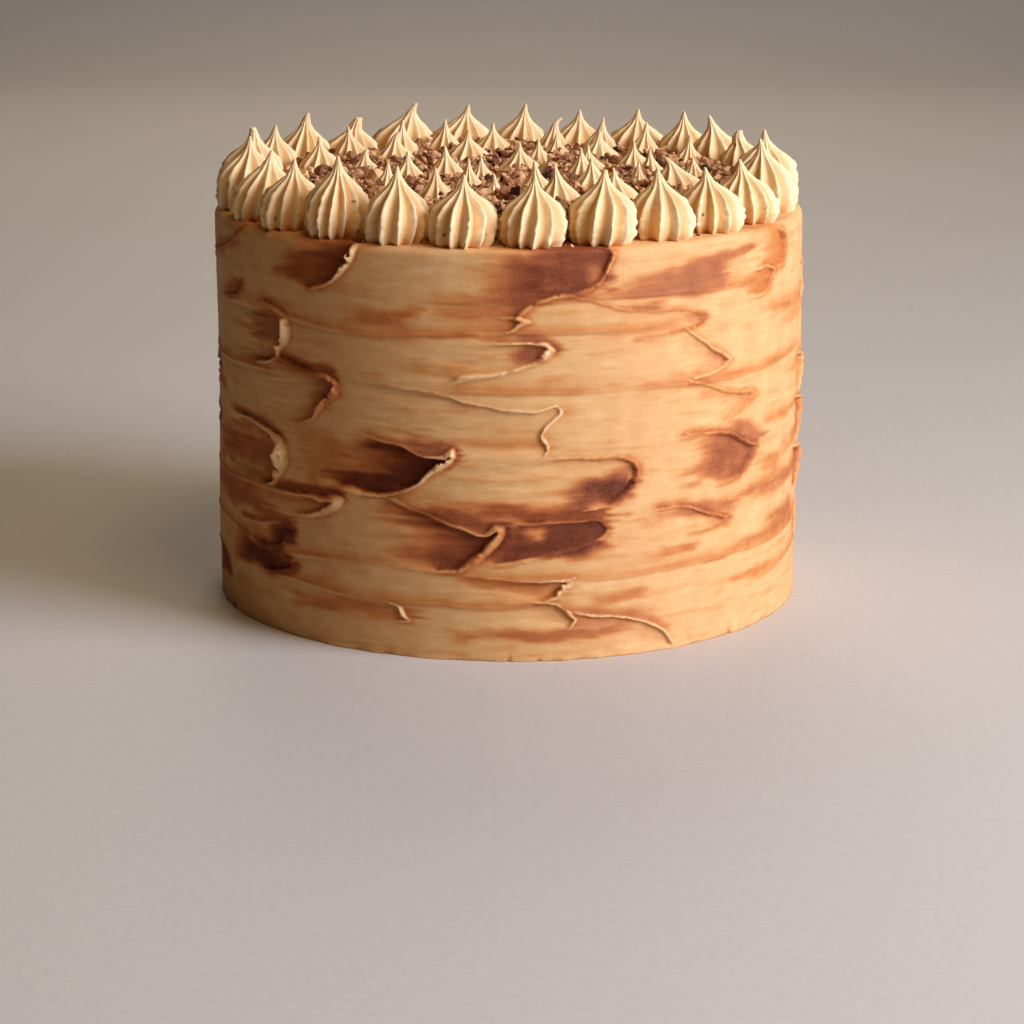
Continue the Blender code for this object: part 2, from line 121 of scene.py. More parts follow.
# The strokes of the front, right to left, so that each laps over the start of its neighbour
FRONT_STROKES = (
    Stroke(leaf(92, 118, 6, 9, 8, 8), 20, 12, 0.8, 1.0, 2.4, 0.2, 0.0, 0.1, 0.1, 0.0),
    Stroke(leaf(90, 86, 5, 11, 12, 7), 22, 12, 1.0, 1.6, 2.8, 0.2, 0.0, 0.1, 0.1, 0.1),
    Stroke(leaf(91, 69, 6, 12, 14, 6), 22, 12, 1.2, 2.4, 3.0, 0.4, 0.1, 0.2, 0.1, 0.1),
    Stroke(leaf(89, 51, 6, 12, 12, 7), 24, 14, 1.2, 2.2, 2.8, 0.45, 0.2, 0.2, 0.1, 0.1),
    Stroke(leaf(90, 32, 4, 11, 9, 7), 22, 14, 1.0, 1.2, 2.4, 0.3, 0.1, 0.1, 0.1, 0.1),
    Stroke(
        ((150, 58, 0.4), (141.5, 62.5, 0.4), (138.5, 65, 0.8), (134.5, 65.8, 1), (130.5, 65.4, 1),
         (127.6, 65, 0.8), (126.2, 61.5, 0.4), (126, 57, 0.1)),
        18, 12, 0.9, 0.6, 1.9, 0.32, 0.0, 0.32, 0.08, 0.0),
    Stroke(
        ((128.4, 54, 0.1), (127.7, 59.3, 0.5), (125.5, 60.6, 1), (122.5, 59.3, 1), (119.8, 58.4, 0.9),
         (118.2, 56, 0.4), (118, 51, 0.1)),
        18, 13, 0.7, 0.5, 1.5, 0.36, 0.0, 0.25, 0.1, 0.0),
    Stroke(
        ((74.6, 34, 0.2), (74.7, 41, 0.4), (73, 46, 0.6), (70.2, 49.6, 0.7), (67.6, 53, 0.8),
         (66, 55.6, 1), (63, 54.4, 0.9), (60, 52.6, 0.8), (57.5, 50.8, 0.7), (55.7, 48, 0.4),
         (54.6, 43, 0.1)),
        20, 17, 1.3, 0.8, 1.7, 0.52, 0.65, 0.50, 0.2, 0.3),
    Stroke(
        ((94, 36, 0.2), (91.6, 40.5, 0.5), (88.8, 44.5, 0.6), (86.6, 49, 0.6), (85.7, 53.3, 0.8),
         (84.2, 54.9, 1), (82, 52.6, 0.9), (80.2, 50, 0.6), (78.4, 47, 0.4), (76, 45, 0.15)),
        20, 9, 0.8, 0.55, 1.4, 0.16, 0.3, 0.30, 0.22, 0.08),
    Stroke(
        ((50.6, 29, 0.3), (50.2, 35, 0.4), (48, 39, 0.6), (45.4, 42.6, 0.7), (43.6, 45.4, 0.9),
         (42, 47.2, 1), (40.8, 44.5, 0.7), (40, 40, 0.3), (39.8, 36, 0.1)),
        14, 8, 1.0, 0.65, 1.4, 0.26, 0.8, 0.45, 0.2, 0.35),
    Stroke(
        ((111.4, 35, 0.4), (107.8, 38.2, 0.7), (104, 41, 0.7), (101, 44.4, 0.8), (98.7, 46.4, 0.9),
         (96.6, 44.8, 0.8), (94.8, 41.5, 0.4), (93.7, 37, 0.15)),
        14, 9, 0.9, 0.7, 1.6, 0.26, 0.9, 0.12, 0.12, 0.12),
    Stroke(
        ((126.2, 12, 0.2), (123.7, 16.8, 0.4), (121.2, 20.5, 0.4), (120, 26, 0.4), (118.9, 32, 0.45),
         (117.4, 36.8, 0.6), (114.8, 39.7, 1), (112.8, 38.6, 0.9), (111.4, 35.5, 0.5),
         (110.4, 31, 0.3), (109.8, 24, 0.2)),
        24, 9, 0.6, 0.4, 1.2, 0.15, 0.6, 0.50, 0.12, 0.1),
    Stroke(
        ((17.4, 12, 0.1), (15.2, 18.5, 0.25), (12.8, 24, 0.35), (10, 28.5, 0.4), (6.4, 31.2, 0.3),
         (3, 32.4, 0.1)),
        24, 14, 0.6, 0.45, 1.2, 0.16, 0.6, 0.0, 0.1, 0.35),
    Stroke(
        ((71.4, 9, 0.15), (70.7, 17, 0.3), (69.8, 21.5, 0.5), (67.8, 24.3, 0.9), (64.5, 25.1, 1),
         (61, 24.7, 1), (58, 23.3, 0.9), (55.2, 21, 0.8), (53, 18.5, 0.4), (51.8, 14, 0.1)),
        38, 4, 1.1, 0.8, 2.1, 0.12, 0.9, 0.38, 0.22, 0.0),
    Stroke(
        ((150, 20, 0.6), (141.5, 19.6, 0.6), (136.5, 19.2, 0.8), (131.5, 17.9, 0.9), (128, 15.8, 0.8),
         (125.8, 12, 0.6), (124.4, 7.5, 0.55), (122.6, 4.6, 0.7), (119.5, 2.7, 0.9), (117, 0.8, 0.3)),
        38, 26, 1.0, 0.7, 2.0, 0.80, 0.6, 0.24, 0.12, 0.0),
    Stroke(
        ((49.3, 2, 0.05), (49.3, 12, 0.05), (48, 17.6, 0.05), (45, 18.9, 0.05), (42, 17.6, 0.05),
         (39.5, 13.5, 0.05), (37, 8, 0.05), (35, 3, 0.05), (33.5, -2, 0.05)),
        22, 34, 0.25, 0.1, 1.5, 0.90, 0.6, 0.6, 0.0, 0.1),
    Stroke(
        ((31.2, -8, 0.05), (29.9, -1, 0.08), (28.4, 5, 0.14), (28.6, 8.6, 0.5), (29.1, 12.8, 0.8),
         (26.5, 12.2, 1), (24, 10.3, 1), (21.6, 8.9, 0.8), (20, 6, 0.2)),
        26, 10, 0.9, 1.0, 3.2, 0.12, 0.1, 0.02, 0.34, 0.12),
    Stroke(
        ((21.2, 5, 0.2), (19.8, 9.4, 0.6), (17, 11.4, 0.8), (14.5, 12.8, 0.7), (12, 12, 0.3)),
        20, 10, 0.5, 0.5, 1.6, 0.18, 0.6, 0.08, 0.1, 0.0),
    Stroke(
        ((96.3, -32, 0.05), (94.8, -21, 0.08), (93, -12, 0.11), (90.2, -6, 0.12), (88.2, 0, 0.12),
         (87.5, 5, 0.2), (88.4, 9.4, 0.8), (86.2, 10.1, 0.9), (83.5, 8.7, 0.8), (81, 7.2, 0.9),
         (78.8, 6.4, 0.6), (76.8, 7.6, 1), (74, 7.9, 0.9), (72.2, 7.2, 0.3)),
        42, 3, 0.9, 0.7, 1.9, 0.08, 0.0, 0.0, 0.06, 0.06),
    Stroke(
        ((110.7, -2, 0.15), (110.5, 4, 0.25), (109.9, 8, 0.8), (108, 8.9, 1), (105.8, 7.8, 1),
         (103.6, 6, 0.6), (101.7, 3.2, 0.35), (100, 0, 0.3), (98.4, -4, 0.4), (97, -8.2, 0.6),
         (96.2, -9.8, 0.5)),
        26, 5.5, 1.0, 1.3, 4.0, 0.34, 0.9, 0.0, 0.2, 0.3),
    Stroke(
        ((119.6, -1, 0.2), (119.5, 3, 0.9), (117.9, 4.5, 1), (116, 2.6, 0.8), (113.5, 0.3, 0.4),
         (112, -3, 0.1)),
        22, 9, 0.7, 1.1, 2.6, 0.32, 0.1, 0.12, 0.1, 0.0),
    Stroke(
        ((56, -22.5, 0.06), (53.2, -18.5, 0.09), (49.8, -13, 0.1), (46.6, -8, 0.12), (45, -4.6, 0.3),
         (48.4, -2.4, 0.8), (47.4, -0.6, 1), (44, -0.6, 1), (40, -2, 0.9), (36.5, -4, 0.75),
         (33.5, -6.3, 0.6), (31, -9, 0.3), (30, -13, 0.1)),
        26, 26, 1.5, 1.7, 5.2, 0.74, 0.5, 0.28, 0.22, 0.35),
    Stroke(
        ((76.8, -27, 0.04), (74.6, -20.5, 0.07), (71.2, -14.5, 0.14), (71.8, -12.2, 0.5), (74.8, -10, 0.9),
         (72.5, -9.2, 1), (69.2, -10, 1), (66.6, -11.9, 0.9), (64.6, -13.9, 0.5), (60.5, -16.5, 0.3),
         (57.6, -19.4, 0.3), (55.8, -23, 0.25), (55, -28, 0.1)),
        38, 30, 2.0, 1.9, 4.6, 0.95, 0.1, 0.02, 0.1, 0.3),
    Stroke(
        ((19, -22.5, 0.3), (17.9, -20, 0.9), (15.2, -19, 1), (13, -18.2, 0.8), (12, -19.8, 0.2)),
        20, 9, 0.6, 0.8, 2.4, 0.16, 0.1, 0.0, 0.3, 0.1),
    Stroke(
        ((150, -26, 1), (141.5, -28, 1), (136, -29.1, 1), (131.5, -31.2, 0.8), (128, -33.4, 0.5),
         (125.5, -36.4, 0.3), (124, -40, 0.12)),
        20, 19, 1.7, 2.4, 3.7, 0.7, 0.1, 0.0, 0.12, 0.0),
    Stroke(
        ((52, -49, 0.15), (51.9, -43, 0.22), (52.6, -37.8, 0.5), (54.2, -34, 0.9), (52.6, -31.9, 1),
         (49.5, -32.8, 1), (47, -35.2, 0.8), (45, -38.6, 0.45), (43.8, -43, 0.12)),
        18, 9, 1.4, 1.8, 4.8, 0.40, 0.6, 0.08, 0.4, 0.75),
    Stroke(
        ((98.5, -47, 0.15), (97.4, -42.5, 0.22), (96, -38, 0.3), (95.2, -34.8, 0.7), (92.5, -32.8, 1),
         (89.5, -32.9, 1), (86.5, -34.9, 0.8), (83, -37, 0.7), (79.5, -38.8, 0.4), (77, -42, 0.12)),
        22, 9, 1.6, 2.0, 4.0, 0.42, 0.9, 0.34, 0.4, 0.85),
    Stroke(
        ((117.2, -52, 0.15), (115.6, -47, 0.6), (112.7, -44.8, 0.95), (109, -44.1, 1),
         (105, -44.7, 1), (101.5, -46.8, 0.7), (99, -47.6, 0.4), (96, -50.8, 0.25), (94.5, -55, 0.1)),
        22, 9, 1.9, 2.9, 5.4, 0.28, 0.6, 0.0, 0.4, 0.45),
    Stroke(
        ((30, -56, 0.15), (28.6, -49.5, 0.4), (26.8, -46, 0.7), (24.8, -43.5, 1), (23.2, -45.6, 0.8),
         (21.8, -49, 0.4), (20.3, -54, 0.12)),
        20, 15, 1.3, 0.9, 2.1, 0.76, 0.15, 0.85, 0.12, 0.4),
    Stroke(
        ((36.4, -63, 0.12), (37.8, -56, 0.2), (40.6, -50, 0.35), (39.8, -45.6, 0.7), (37.8, -44.2, 1),
         (34.8, -46.2, 0.9), (31.6, -48.3, 0.5), (29.6, -52, 0.12)),
        22, 12, 1.3, 1.1, 2.6, 0.74, 0.2, 0.85, 0.2, 0.5),
    Stroke(
        ((74, -64, 0.12), (73.4, -55, 0.2), (72, -50.5, 0.3), (70, -47.6, 0.7), (67, -46.2, 1),
         (63.5, -45.9, 1), (60, -46.6, 1), (56.5, -48, 0.75), (53.5, -49.2, 0.4), (51.4, -53, 0.12)),
        30, 15, 2.2, 3.3, 7.6, 0.5, 0.4, 0.0, 0.4, 0.8),
    Stroke(
        ((150, -55, 0.5), (141.4, -60.5, 0.5), (137.5, -63, 0.8), (134, -66.2, 0.7), (131, -70.5, 0.5),
         (128.6, -76, 0.3), (127, -84, 0.1)),
        20, 9, 0.7, 0.5, 1.9, 0.2, 0.1, 0.6, 0.15, 0.0),
    Stroke(
        ((121.8, -64.5, 0.2), (120.4, -61.2, 0.8), (117.8, -62, 0.8), (115, -66, 0.4), (113.8, -72, 0.1)),
        16, 10, 0.6, 0.4, 1.6, 0.5, 0.1, 0.7, 0.1, 0.1),
    Stroke(leaf(-74.5, 86, 5, 8, 9, 8), 20, 18, 1.1, 1.1, 2.4, 0.5, 0.05, 0.3, 0.1, 0.0),
    Stroke(leaf(-76.5, 68.5, 4, 5.5, 8, 8), 20, 14, 0.9, 0.7, 2.0, 0.74, 0.1, 0.5, 0.1, 0.0),
    Stroke(leaf(-72, 15.5, 5, 5.5, 9, 8), 18, 15, 1.0, 0.9, 2.2, 0.78, 0.1, 0.6, 0.1, 0.0),
)

# The strokes round the back follow the rows of the front
BACK_ROWS = (133, 117, 100, 83, 66, 48, 31, 14)
BACK_START = 116.0
BACK_END = 268.0
BACK_STEP = 41.0
BACK_SEED = 17
BACK_SMUDGES = 26
BACK_SMUDGE_ANGLES = (98, 245)
BACK_SMUDGE_LEVELS = (6, 128)
BACK_TONES = (0.1, 0.75)
EDGE_STEP = 0.6

# The thinnest ridge along a stroke, where its lip is hardly turned up, in mm
THIN_WIDTH = 1.1
THIN_HEIGHT = 0.30

# Thin ridges where one row of strokes meets the next, heights in mm
ROW_LINES = (125, 112.5, 94, 74, 49.5, 30.5, 19)


class Smudge(NamedTuple):
    """A soft streak of brown, dragged from left to right."""
    left: float     # degrees
    right: float    # degrees
    low: float      # height of its lower edge at the left, mm
    high: float     # height of its upper edge at the left, mm
    climb: float    # how far it rises towards the right, mm
    brown: float    # how much brown, 0 to 1
    tone: float     # 0 for red-brown, 1 for a greyer purple-brown


# Smudges that the strokes were drawn over, and those that lie on the strokes' floors
UNDER_SMUDGES = (
    Smudge(16, 48, 117, 131, 7, 0.50, 0.80),
    Smudge(20, 36, 125, 133, 1, 0.42, 0.60),
    Smudge(38, 54, 131, 135, 4, 0.45, 0.60),
    Smudge(-2, 9.5, 108.5, 115.5, -3, 0.50, 0.80),
    Smudge(-23, -8.5, 73, 81.5, -6, 0.55, 0.75),
    Smudge(-20, 20, 48.5, 57, -1, 0.66, 0.20),
    Smudge(-21, -1, 50.5, 57, -7.5, 0.66, 0.35),
    Smudge(-8, 19.5, 32.5, 47, 4, 0.80, 0.50),
    Smudge(42, 58, 71, 79, -7, 0.42, 0.80),
    Smudge(24, 49, 47, 53, -3, 0.42, 0.50),
    Smudge(27, 37.5, 33.5, 38, -1, 0.36, 0.10),
    Smudge(36, 62, 16.5, 20, 2, 0.28, 0.00),
    Smudge(40, 80, 27, 33, 3, 0.34, 0.10),
    Smudge(54, 76, 29, 38, 4, 0.42, 0.30),
    Smudge(40, 95, 45, 52, 1, 0.38, 0.40),
    Smudge(53, 66, 55, 63, -3, 0.30, 0.20),
    Smudge(60, 98, 56, 64, 2, 0.34, 0.30),
    Smudge(60, 98, 102, 118, 2, 0.20, 0.00),
    Smudge(62, 98, 84, 96, -2, 0.20, 0.00),
    Smudge(-22, 27, 7, 12, 0, 0.42, 0.40),
    Smudge(3, 28, 12, 21, -4, 0.34, 0.60),
    Smudge(12, 27, 19, 24, 0, 0.32, 0.10),
    Smudge(-12, 10, 27, 32, -5, 0.32, 0.00),
    Smudge(-50, -18, 12, 18.5, 0, 0.36, 0.00),
)
OVER_SMUDGES = (
    Smudge(33, 39.8, 112.3, 116.8, 0, 0.42, 0.30),
    Smudge(-35, -17, 113.5, 122.5, 0, 0.40, 0.05),
    Smudge(-18, 2, 117, 128, -1, 0.32, 0.30),
    Smudge(-33, 3, 111.4, 113.8, 0, 0.30, 0.00),
    Smudge(0, 6.2, 102.5, 109.5, 0, 0.66, 0.80),
    Smudge(-24, -7, 98, 104, 0, 0.20, 0.00),
    Smudge(-7, 18.5, 122, 138, 4, 0.80, 0.70),
    Smudge(-42, -18.5, 56.5, 63.5, 0, 0.95, 0.00),
    Smudge(9, 24.2, 52, 63, 3, 0.88, 1.00),
    Smudge(-24, -5, 33, 40, 0, 0.42, 0.10),
    Smudge(35, 51, 55, 74, 0, 0.60, 0.60),
    Smudge(-52, -34, 95, 100.5, -1, 0.60, 0.10),
    Smudge(-54, -33, 51.5, 56.5, 0, 0.72, 0.05),
    Smudge(-69, -47, 18, 34, 0, 0.92, 0.10),
    Smudge(-53, -44, 31, 39.5, 0, 0.92, 0.10),
    Smudge(-50, -33, 126, 139, -2, 0.60, 0.20),
    Smudge(-60, -47.5, 100, 118, 0, 0.45, 0.60),
    Smudge(-97, -74, 78, 90, 0, 0.48, 0.00),
    Smudge(-72, -60, 112, 121, 3, 0.45, 0.05),
    Smudge(-90, -71, 12, 21, -2, 0.78, 0.10),
    Smudge(-88, -62, 122, 128, 11, 0.32, 0.20),
    Smudge(-90, -46, 38, 51, 0, 0.48, 0.10),
    Smudge(-84, -50, 53, 70, 0, 0.50, 0.20),
    Smudge(-47, -27, 57, 77, 0, 0.30, 0.00),
)

# Places on the smudges where less brown lies
LIGHT_SPOTS = (
    Smudge(2.2, 7.0, 42, 48.6, 0, 0.24, 0.0),
    Smudge(-30, -24, 64, 72, 0, 0.62, 0.0),
    Smudge(14, 17.5, 128, 137, 0, 0.45, 0.4),
)

# How much brown the plain icing counts as; what has less is the bright cream of a torn lip
PLAIN_BROWN = 0.08


def smooth_step(low, high, value):
    share = np.clip((value - low) / (high - low), 0.0, 1.0)
    return share * share * (3.0 - 2.0 * share)


def curve_through(places, values, at):
    """A smooth curve through a few points, read at many places."""
    places = np.array(places, float)
    values = np.array(values, float)
    slopes = np.gradient(values, places)
    left = np.clip(np.searchsorted(places, at) - 1, 0, len(places) - 2)
    gap = places[left + 1] - places[left]
    share = (at - places[left]) / gap
    square = share * share
    cube = square * share
    start = (2 * cube - 3 * square + 1) * values[left] + (cube - 2 * square + share) * gap * slopes[left]
    end = (3 * square - 2 * cube) * values[left + 1] + (cube - square) * gap * slopes[left + 1]
    return start + end


def lattice_noise(degrees, levels, cells_around, cells_up, seed):
    """Smooth noise from -1 to 1 over the side, with no seam round the cake."""
    lattice = np.random.default_rng(seed).uniform(-1.0, 1.0, (cells_up + 2, cells_around))
    across = (degrees % 360.0) / 360.0 * cells_around
    up = np.clip(levels / CAKE_HEIGHT, 0.0, 1.0) * cells_up
    left = across.astype(int)
    low = up.astype(int)
    share_x = smooth_step(0.0, 1.0, across - left)[None, :]
    share_y = smooth_step(0.0, 1.0, up - low)[:, None]
    left %= cells_around
    right = (left + 1) % cells_around
    below = lattice[low][:, left] * (1 - share_x) + lattice[low][:, right] * share_x
    above = lattice[low + 1][:, left] * (1 - share_x) + lattice[low + 1][:, right] * share_x
    return below * (1 - share_y) + above * share_y


def mesh_from_arrays(name, points, face_groups):
    """A mesh from an array of points in mm and arrays of faces with three or four corners."""
    mesh = bpy.data.meshes.new(name)
    corners = np.concatenate([faces.ravel() for faces in face_groups])
    sizes = np.concatenate([np.full(len(faces), faces.shape[1]) for faces in face_groups])
    starts = np.concatenate([[0], np.cumsum(sizes)[:-1]])
    mesh.vertices.add(len(points))
    mesh.vertices.foreach_set("co", (points * MM).astype(np.float32).ravel())
    mesh.loops.add(len(corners))
    mesh.loops.foreach_set("vertex_index", corners.astype(np.int32))
    mesh.polygons.add(len(sizes))
    mesh.polygons.foreach_set("loop_start", starts.astype(np.int32))
    mesh.update(calc_edges=True)
    mesh.validate()
    mesh.shade_smooth()
    return mesh


def set_values(mesh, name, values):
    attribute = mesh.attributes.new(name, "FLOAT", "POINT")
    attribute.data.foreach_set("value", np.asarray(values, np.float32).ravel())


def ring_faces(rows, columns):
    """Quads between rows of points that close round, each row as many points as columns."""
    row = np.arange(rows - 1)[:, None] * columns
    column = np.arange(columns)[None, :]
    after = (column + 1) % columns
    corners = (row + column, row + after, row + columns + after, row + columns + column)
    return np.stack(corners, axis=-1).reshape(-1, 4)


def fan_faces(first, columns, centre, upwards):
    """Triangles from a closed row of points to one point in its middle."""
    column = np.arange(columns)
    after = (column + 1) % columns
    middle = np.full(columns, centre)
    if upwards:
        return np.stack((first + column, first + after, middle), axis=-1)
    return np.stack((first + after, first + column, middle), axis=-1)


def add_piece(name, mesh, material, nodes):
    mesh.materials.append(material)
    piece = bpy.data.objects.new(name, mesh)
    bpy.context.scene.collection.objects.link(piece)
    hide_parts(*nodes)
    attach(piece, "root")
    return piece


def thin_out(piece, triangles):
    """Collapse edges where the surface is plain, until about so many triangles are left."""
    now = sum(len(face.vertices) - 2 for face in piece.data.polygons)
    if now <= triangles:
        return
    thinner = piece.modifiers.new("thin_out", "DECIMATE")
    thinner.ratio = triangles / now
    bpy.context.view_layer.update()
    evaluated = piece.evaluated_get(bpy.context.evaluated_depsgraph_get())
    settled = bpy.data.meshes.new_from_object(evaluated)
    piece.modifiers.clear()
    piece.data = settled
    piece.data.shade_smooth()


def back_strokes():
    """The strokes that the front doesn't show, in the same rows and of the same kinds."""
    draw = random.Random(BACK_SEED)
    strokes = []
    for row, level in enumerate(BACK_ROWS):
        angle = BACK_END - draw.uniform(0, BACK_STEP) - 6 * (row % 2)
        while angle > BACK_START:
            bold = draw.random()
            height = level + draw.uniform(-2, 2)
            rise = draw.uniform(3, 6)
            fall = draw.uniform(9, 14)
            lead = 1.6 * draw.uniform(4, 8)
            trail = draw.uniform(4, 12)
            length = draw.uniform(18, 30)
            strokes.append(Stroke(
                edge=leaf(angle, height, rise, fall, lead, trail),
                length=length,
                smear=0.6 * length,
                depth=0.8 + 1.1 * bold,
                lip=0.7 + 1.8 * bold * bold,
                width=1.6 + 3.4 * bold,
                brown=0.15 + 0.6 * bold,
                tone=BACK_TONES[len(strokes) % 2],
                curl=0.45 * (1 - bold),
                shade=0.2,
                rim=0.7 * bold,
            ))
            angle -= BACK_STEP * draw.uniform(0.7, 1.2)
    return strokes


def back_smudges():
    """Smudges at random places where the front doesn't show."""
    draw = random.Random(BACK_SEED + 1)
    smudges = []
    while len(smudges) < BACK_SMUDGES:
        left = draw.uniform(*BACK_SMUDGE_ANGLES)
        low = draw.uniform(*BACK_SMUDGE_LEVELS)
        smudges.append(Smudge(
            left=left,
            right=left + draw.uniform(14, 34),
            low=low,
            high=low + draw.uniform(4, 11),
            climb=draw.uniform(-3, 3),
            brown=draw.uniform(0.25, 0.62),
            tone=draw.choice((0.0, 0.1, 0.8)),
        ))
    return smudges


class Side:
    """The side of the cake on a grid of angles and heights: its relief, drag and paint."""

    def __init__(self, degrees, levels):
        self.degrees = degrees
        self.levels = levels
        shape = (len(levels), len(degrees))
        self.relief = np.zeros(shape)
        self.drag = np.zeros(shape)
        self.brown = np.full(shape, PLAIN_BROWN)
        self.tone = np.full(shape, 0.1)
        self.streak = self.noise(40, 60, 1) + 0.6 * self.noise(90, 130, 2) + 0.3 * self.noise(170, 260, 3)
        torn = smooth_step(-0.1, 0.7, self.noise(60, 13, 7))
        self.ragged = torn * (self.noise(300, 67, 4) + 0.8 * self.noise(560, 130, 5))
        self.wander = self.noise(90, 19, 6) + 0.4 * self.noise(210, 41, 8)
        self.torn = smooth_step(-0.2, 0.5, self.noise(200, 45, 10))
        self.torn = self.torn * smooth_step(-0.1, 0.5, self.noise(480, 112, 9))

    def noise(self, cells_around, cells_up, seed):
        return lattice_noise(self.degrees, self.levels, cells_around, cells_up, seed)

    def around(self, cells, seed):
        """Noise that changes round the cake and not up its side."""
        return lattice_noise(self.degrees, np.zeros(1), cells, 1, seed)

    def window(self, tip, back, ahead, low, high):
        """Rows and columns of the grid from back degrees left of a place to ahead right of it."""
        turned = (self.degrees - tip + 180.0) % 360.0 - 180.0
        columns = np.nonzero((turned > -back) & (turned < ahead))[0]
        rows = np.nonzero((self.levels > low) & (self.levels < high))[0]
        return np.ix_(rows, columns), turned[columns][None, :], self.levels[rows][:, None]


def lay_ground(side):
    """The coat before the strokes: slow waves, faint drag marks and ridges between rows."""
    angle = np.radians(side.degrees)[None, :]
    level = side.levels[:, None]
    side.relief += 0.5 * np.sin(3 * angle + math.radians(40)) * np.sin(level / 31.0 + 1.0)
    side.relief += 0.35 * np.sin(7 * angle) * np.sin(level / 17.0)
    side.relief += 0.045 * side.streak
    for index, line in enumerate(ROW_LINES):
        place = line + 2.2 * side.around(14, 20 + index)
        place = place + 0.4 * side.around(90, 30 + index)
        shown = smooth_step(-0.45, 0.35, side.around(16, 40 + index))
        above = level - place
        side.relief += shown * 0.38 * np.exp(-(above / 0.5) ** 2)
        side.relief -= shown * 0.22 * np.exp(-((above + 1.3) / 1.1) ** 2)
        side.brown += shown * 0.13 * np.exp(-((above - 0.6) / 0.8) ** 2)
        side.brown += shown * 0.10 * np.exp(-((above - 1.5) / 2.2) ** 2)
    side.brown += 0.08 * smooth_step(0.1, 1.1, side.streak)


def lay_smudge(side, smudge, darker=True):
    """Blend a smudge in where it is darker than what lies there, or else where it is lighter."""
    middle = smudge.right
    width = smudge.right - smudge.left
    low = min(smudge.low, smudge.low + smudge.climb) - 4
    high = max(smudge.high, smudge.high + smudge.climb) + 4
    window, turned, level = side.window(middle, width * 1.2, 4, low, high)
    streak = side.streak[window]
    wander = side.wander[window]
    along = 1.0 + turned / width + 0.13 * streak + 0.03 * wander
    tall = smudge.high - smudge.low
    up = (level - smudge.low - smudge.climb * (1.0 + turned / width)) / tall + 0.16 * wander + 0.05 * streak
    cover = smooth_step(0.0, 0.5, along) * (1.0 - smooth_step(0.9, 1.04, along))
    cover *= smooth_step(-0.05, 0.35, up) * (1.0 - smooth_step(0.62, 1.05, up))
    cover *= (smudge.brown > side.brown[window]) == darker
    side.brown[window] += (smudge.brown - side.brown[window]) * cover
    side.tone[window] += (smudge.tone - side.tone[window]) * cover


def run_on(end, inner, beyond):
    """Points that go on from the end of a line, soon straight to the left, 1 mm apart."""
    start = (end - inner) / np.hypot(*(end - inner))
    turned = smooth_step(0.0, 7.0, beyond)[:, None]
    ways = start * (1.0 - turned) + np.array([-1.0, 0.0]) * turned
    return end + np.cumsum(ways / np.hypot(*ways.T)[:, None], axis=0)


class Edge:
    """A stroke's edge as close points in mm, running on to the left from both of its ends.

    Each point has the lip's fullness, the way out, and how much of the ridge and of the paint's
    sharpness is left, which is all of it on the edge itself and less further on.
    """

    def __init__(self, stroke):
        levels, angles, lips = np.array(stroke.edge, float).T
        self.tip = angles.max()
        across = (angles - self.tip) * MM_PER_DEGREE
        steps = np.hypot(np.diff(across), np.diff(levels))
        along = np.concatenate([[0.0], np.cumsum(steps)])
        at = np.linspace(0.0, along[-1], int(along[-1] / EDGE_STEP) + 2)
        line = np.stack([curve_through(along, across, at), curve_through(along, levels, at)], axis=-1)
        beyond = np.arange(1.0, stroke.length * MM_PER_DEGREE)
        upper = run_on(line[0], line[2], beyond)[::-1]
        lower = run_on(line[-1], line[-3], beyond)
        self.x, self.z = np.concatenate([upper, line, lower]).T
        past = np.concatenate([beyond[::-1], np.zeros(len(at)), beyond])
        self.lip = np.interp(at, along, lips)
        self.lip = np.pad(self.lip, len(beyond), "edge") * np.exp(-past / 4.0)
        self.ridge = np.exp(-past / 1.8)
        self.sharp = np.exp(-past / 5.0)
        run_x = np.gradient(self.x)
        run_z = np.gradient(self.z)
        size = np.hypot(run_x, run_z)
        self.out = (-run_z / size, run_x / size)
        self.rows = np.arange(line[:, 1].min(), line[:, 1].max() + 1.0)
        near = np.abs(line[None, :, 1] - self.rows[:, None]) < 1.5
        self.reach = np.where(near, line[None, :, 0], -1e3).max(axis=1)

    def nearest(self, x, z):
        """For each place: which point of the edge is closest, and how far inside it the place is."""
        closest = np.argmin((x[..., None] - self.x) ** 2 + (z[..., None] - self.z) ** 2, axis=-1)
        away_x = x - self.x[closest]
        away_z = z - self.z[closest]
        inside = -(away_x * self.out[0][closest] + away_z * self.out[1][closest])
        return closest, inside

    def front(self, z):
        """How far right the edge reaches at a level."""
        return np.interp(z, self.rows, self.reach)


class Swath:
    """The places of the grid round one stroke, and where each lies on the stroke."""

    def __init__(self, side, stroke):
        edge = Edge(stroke)
        back = stroke.length - edge.reach.min() / MM_PER_DEGREE
        window, turned, level = side.window(edge.tip, back, 4, edge.z.min() - 4.0, edge.z.max() + 5.0)
        self.window = window
        self.ragged = side.ragged[window]
        self.wander = side.wander[window]
        self.streak = side.streak[window]
        self.torn = side.torn[window]
        x = turned * MM_PER_DEGREE + 0.45 * self.wander
        z = level + 0.40 * self.wander + np.zeros_like(x)
        closest, inside = edge.nearest(x, z)
        self.lip = edge.lip[closest]
        self.ridge = edge.ridge[closest]
        self.sharp = edge.sharp[closest]
        self.upwards = np.clip(edge.out[1][closest], 0.0, 1.0)
        self.inside = inside + 0.5 * self.ragged * self.lip
        self.left = -(0.35 * (x - edge.front(z)) + 0.65 * x) / MM_PER_DEGREE
        uneven = 1.0 + 0.16 * self.wander + 0.14 * self.ragged
        self.bead = np.maximum(THIN_WIDTH, stroke.width * self.lip * uneven)
        self.across = self.inside / self.bead
        self.inner = self.across + (0.40 * self.torn + 0.12 * self.ragged) * self.lip


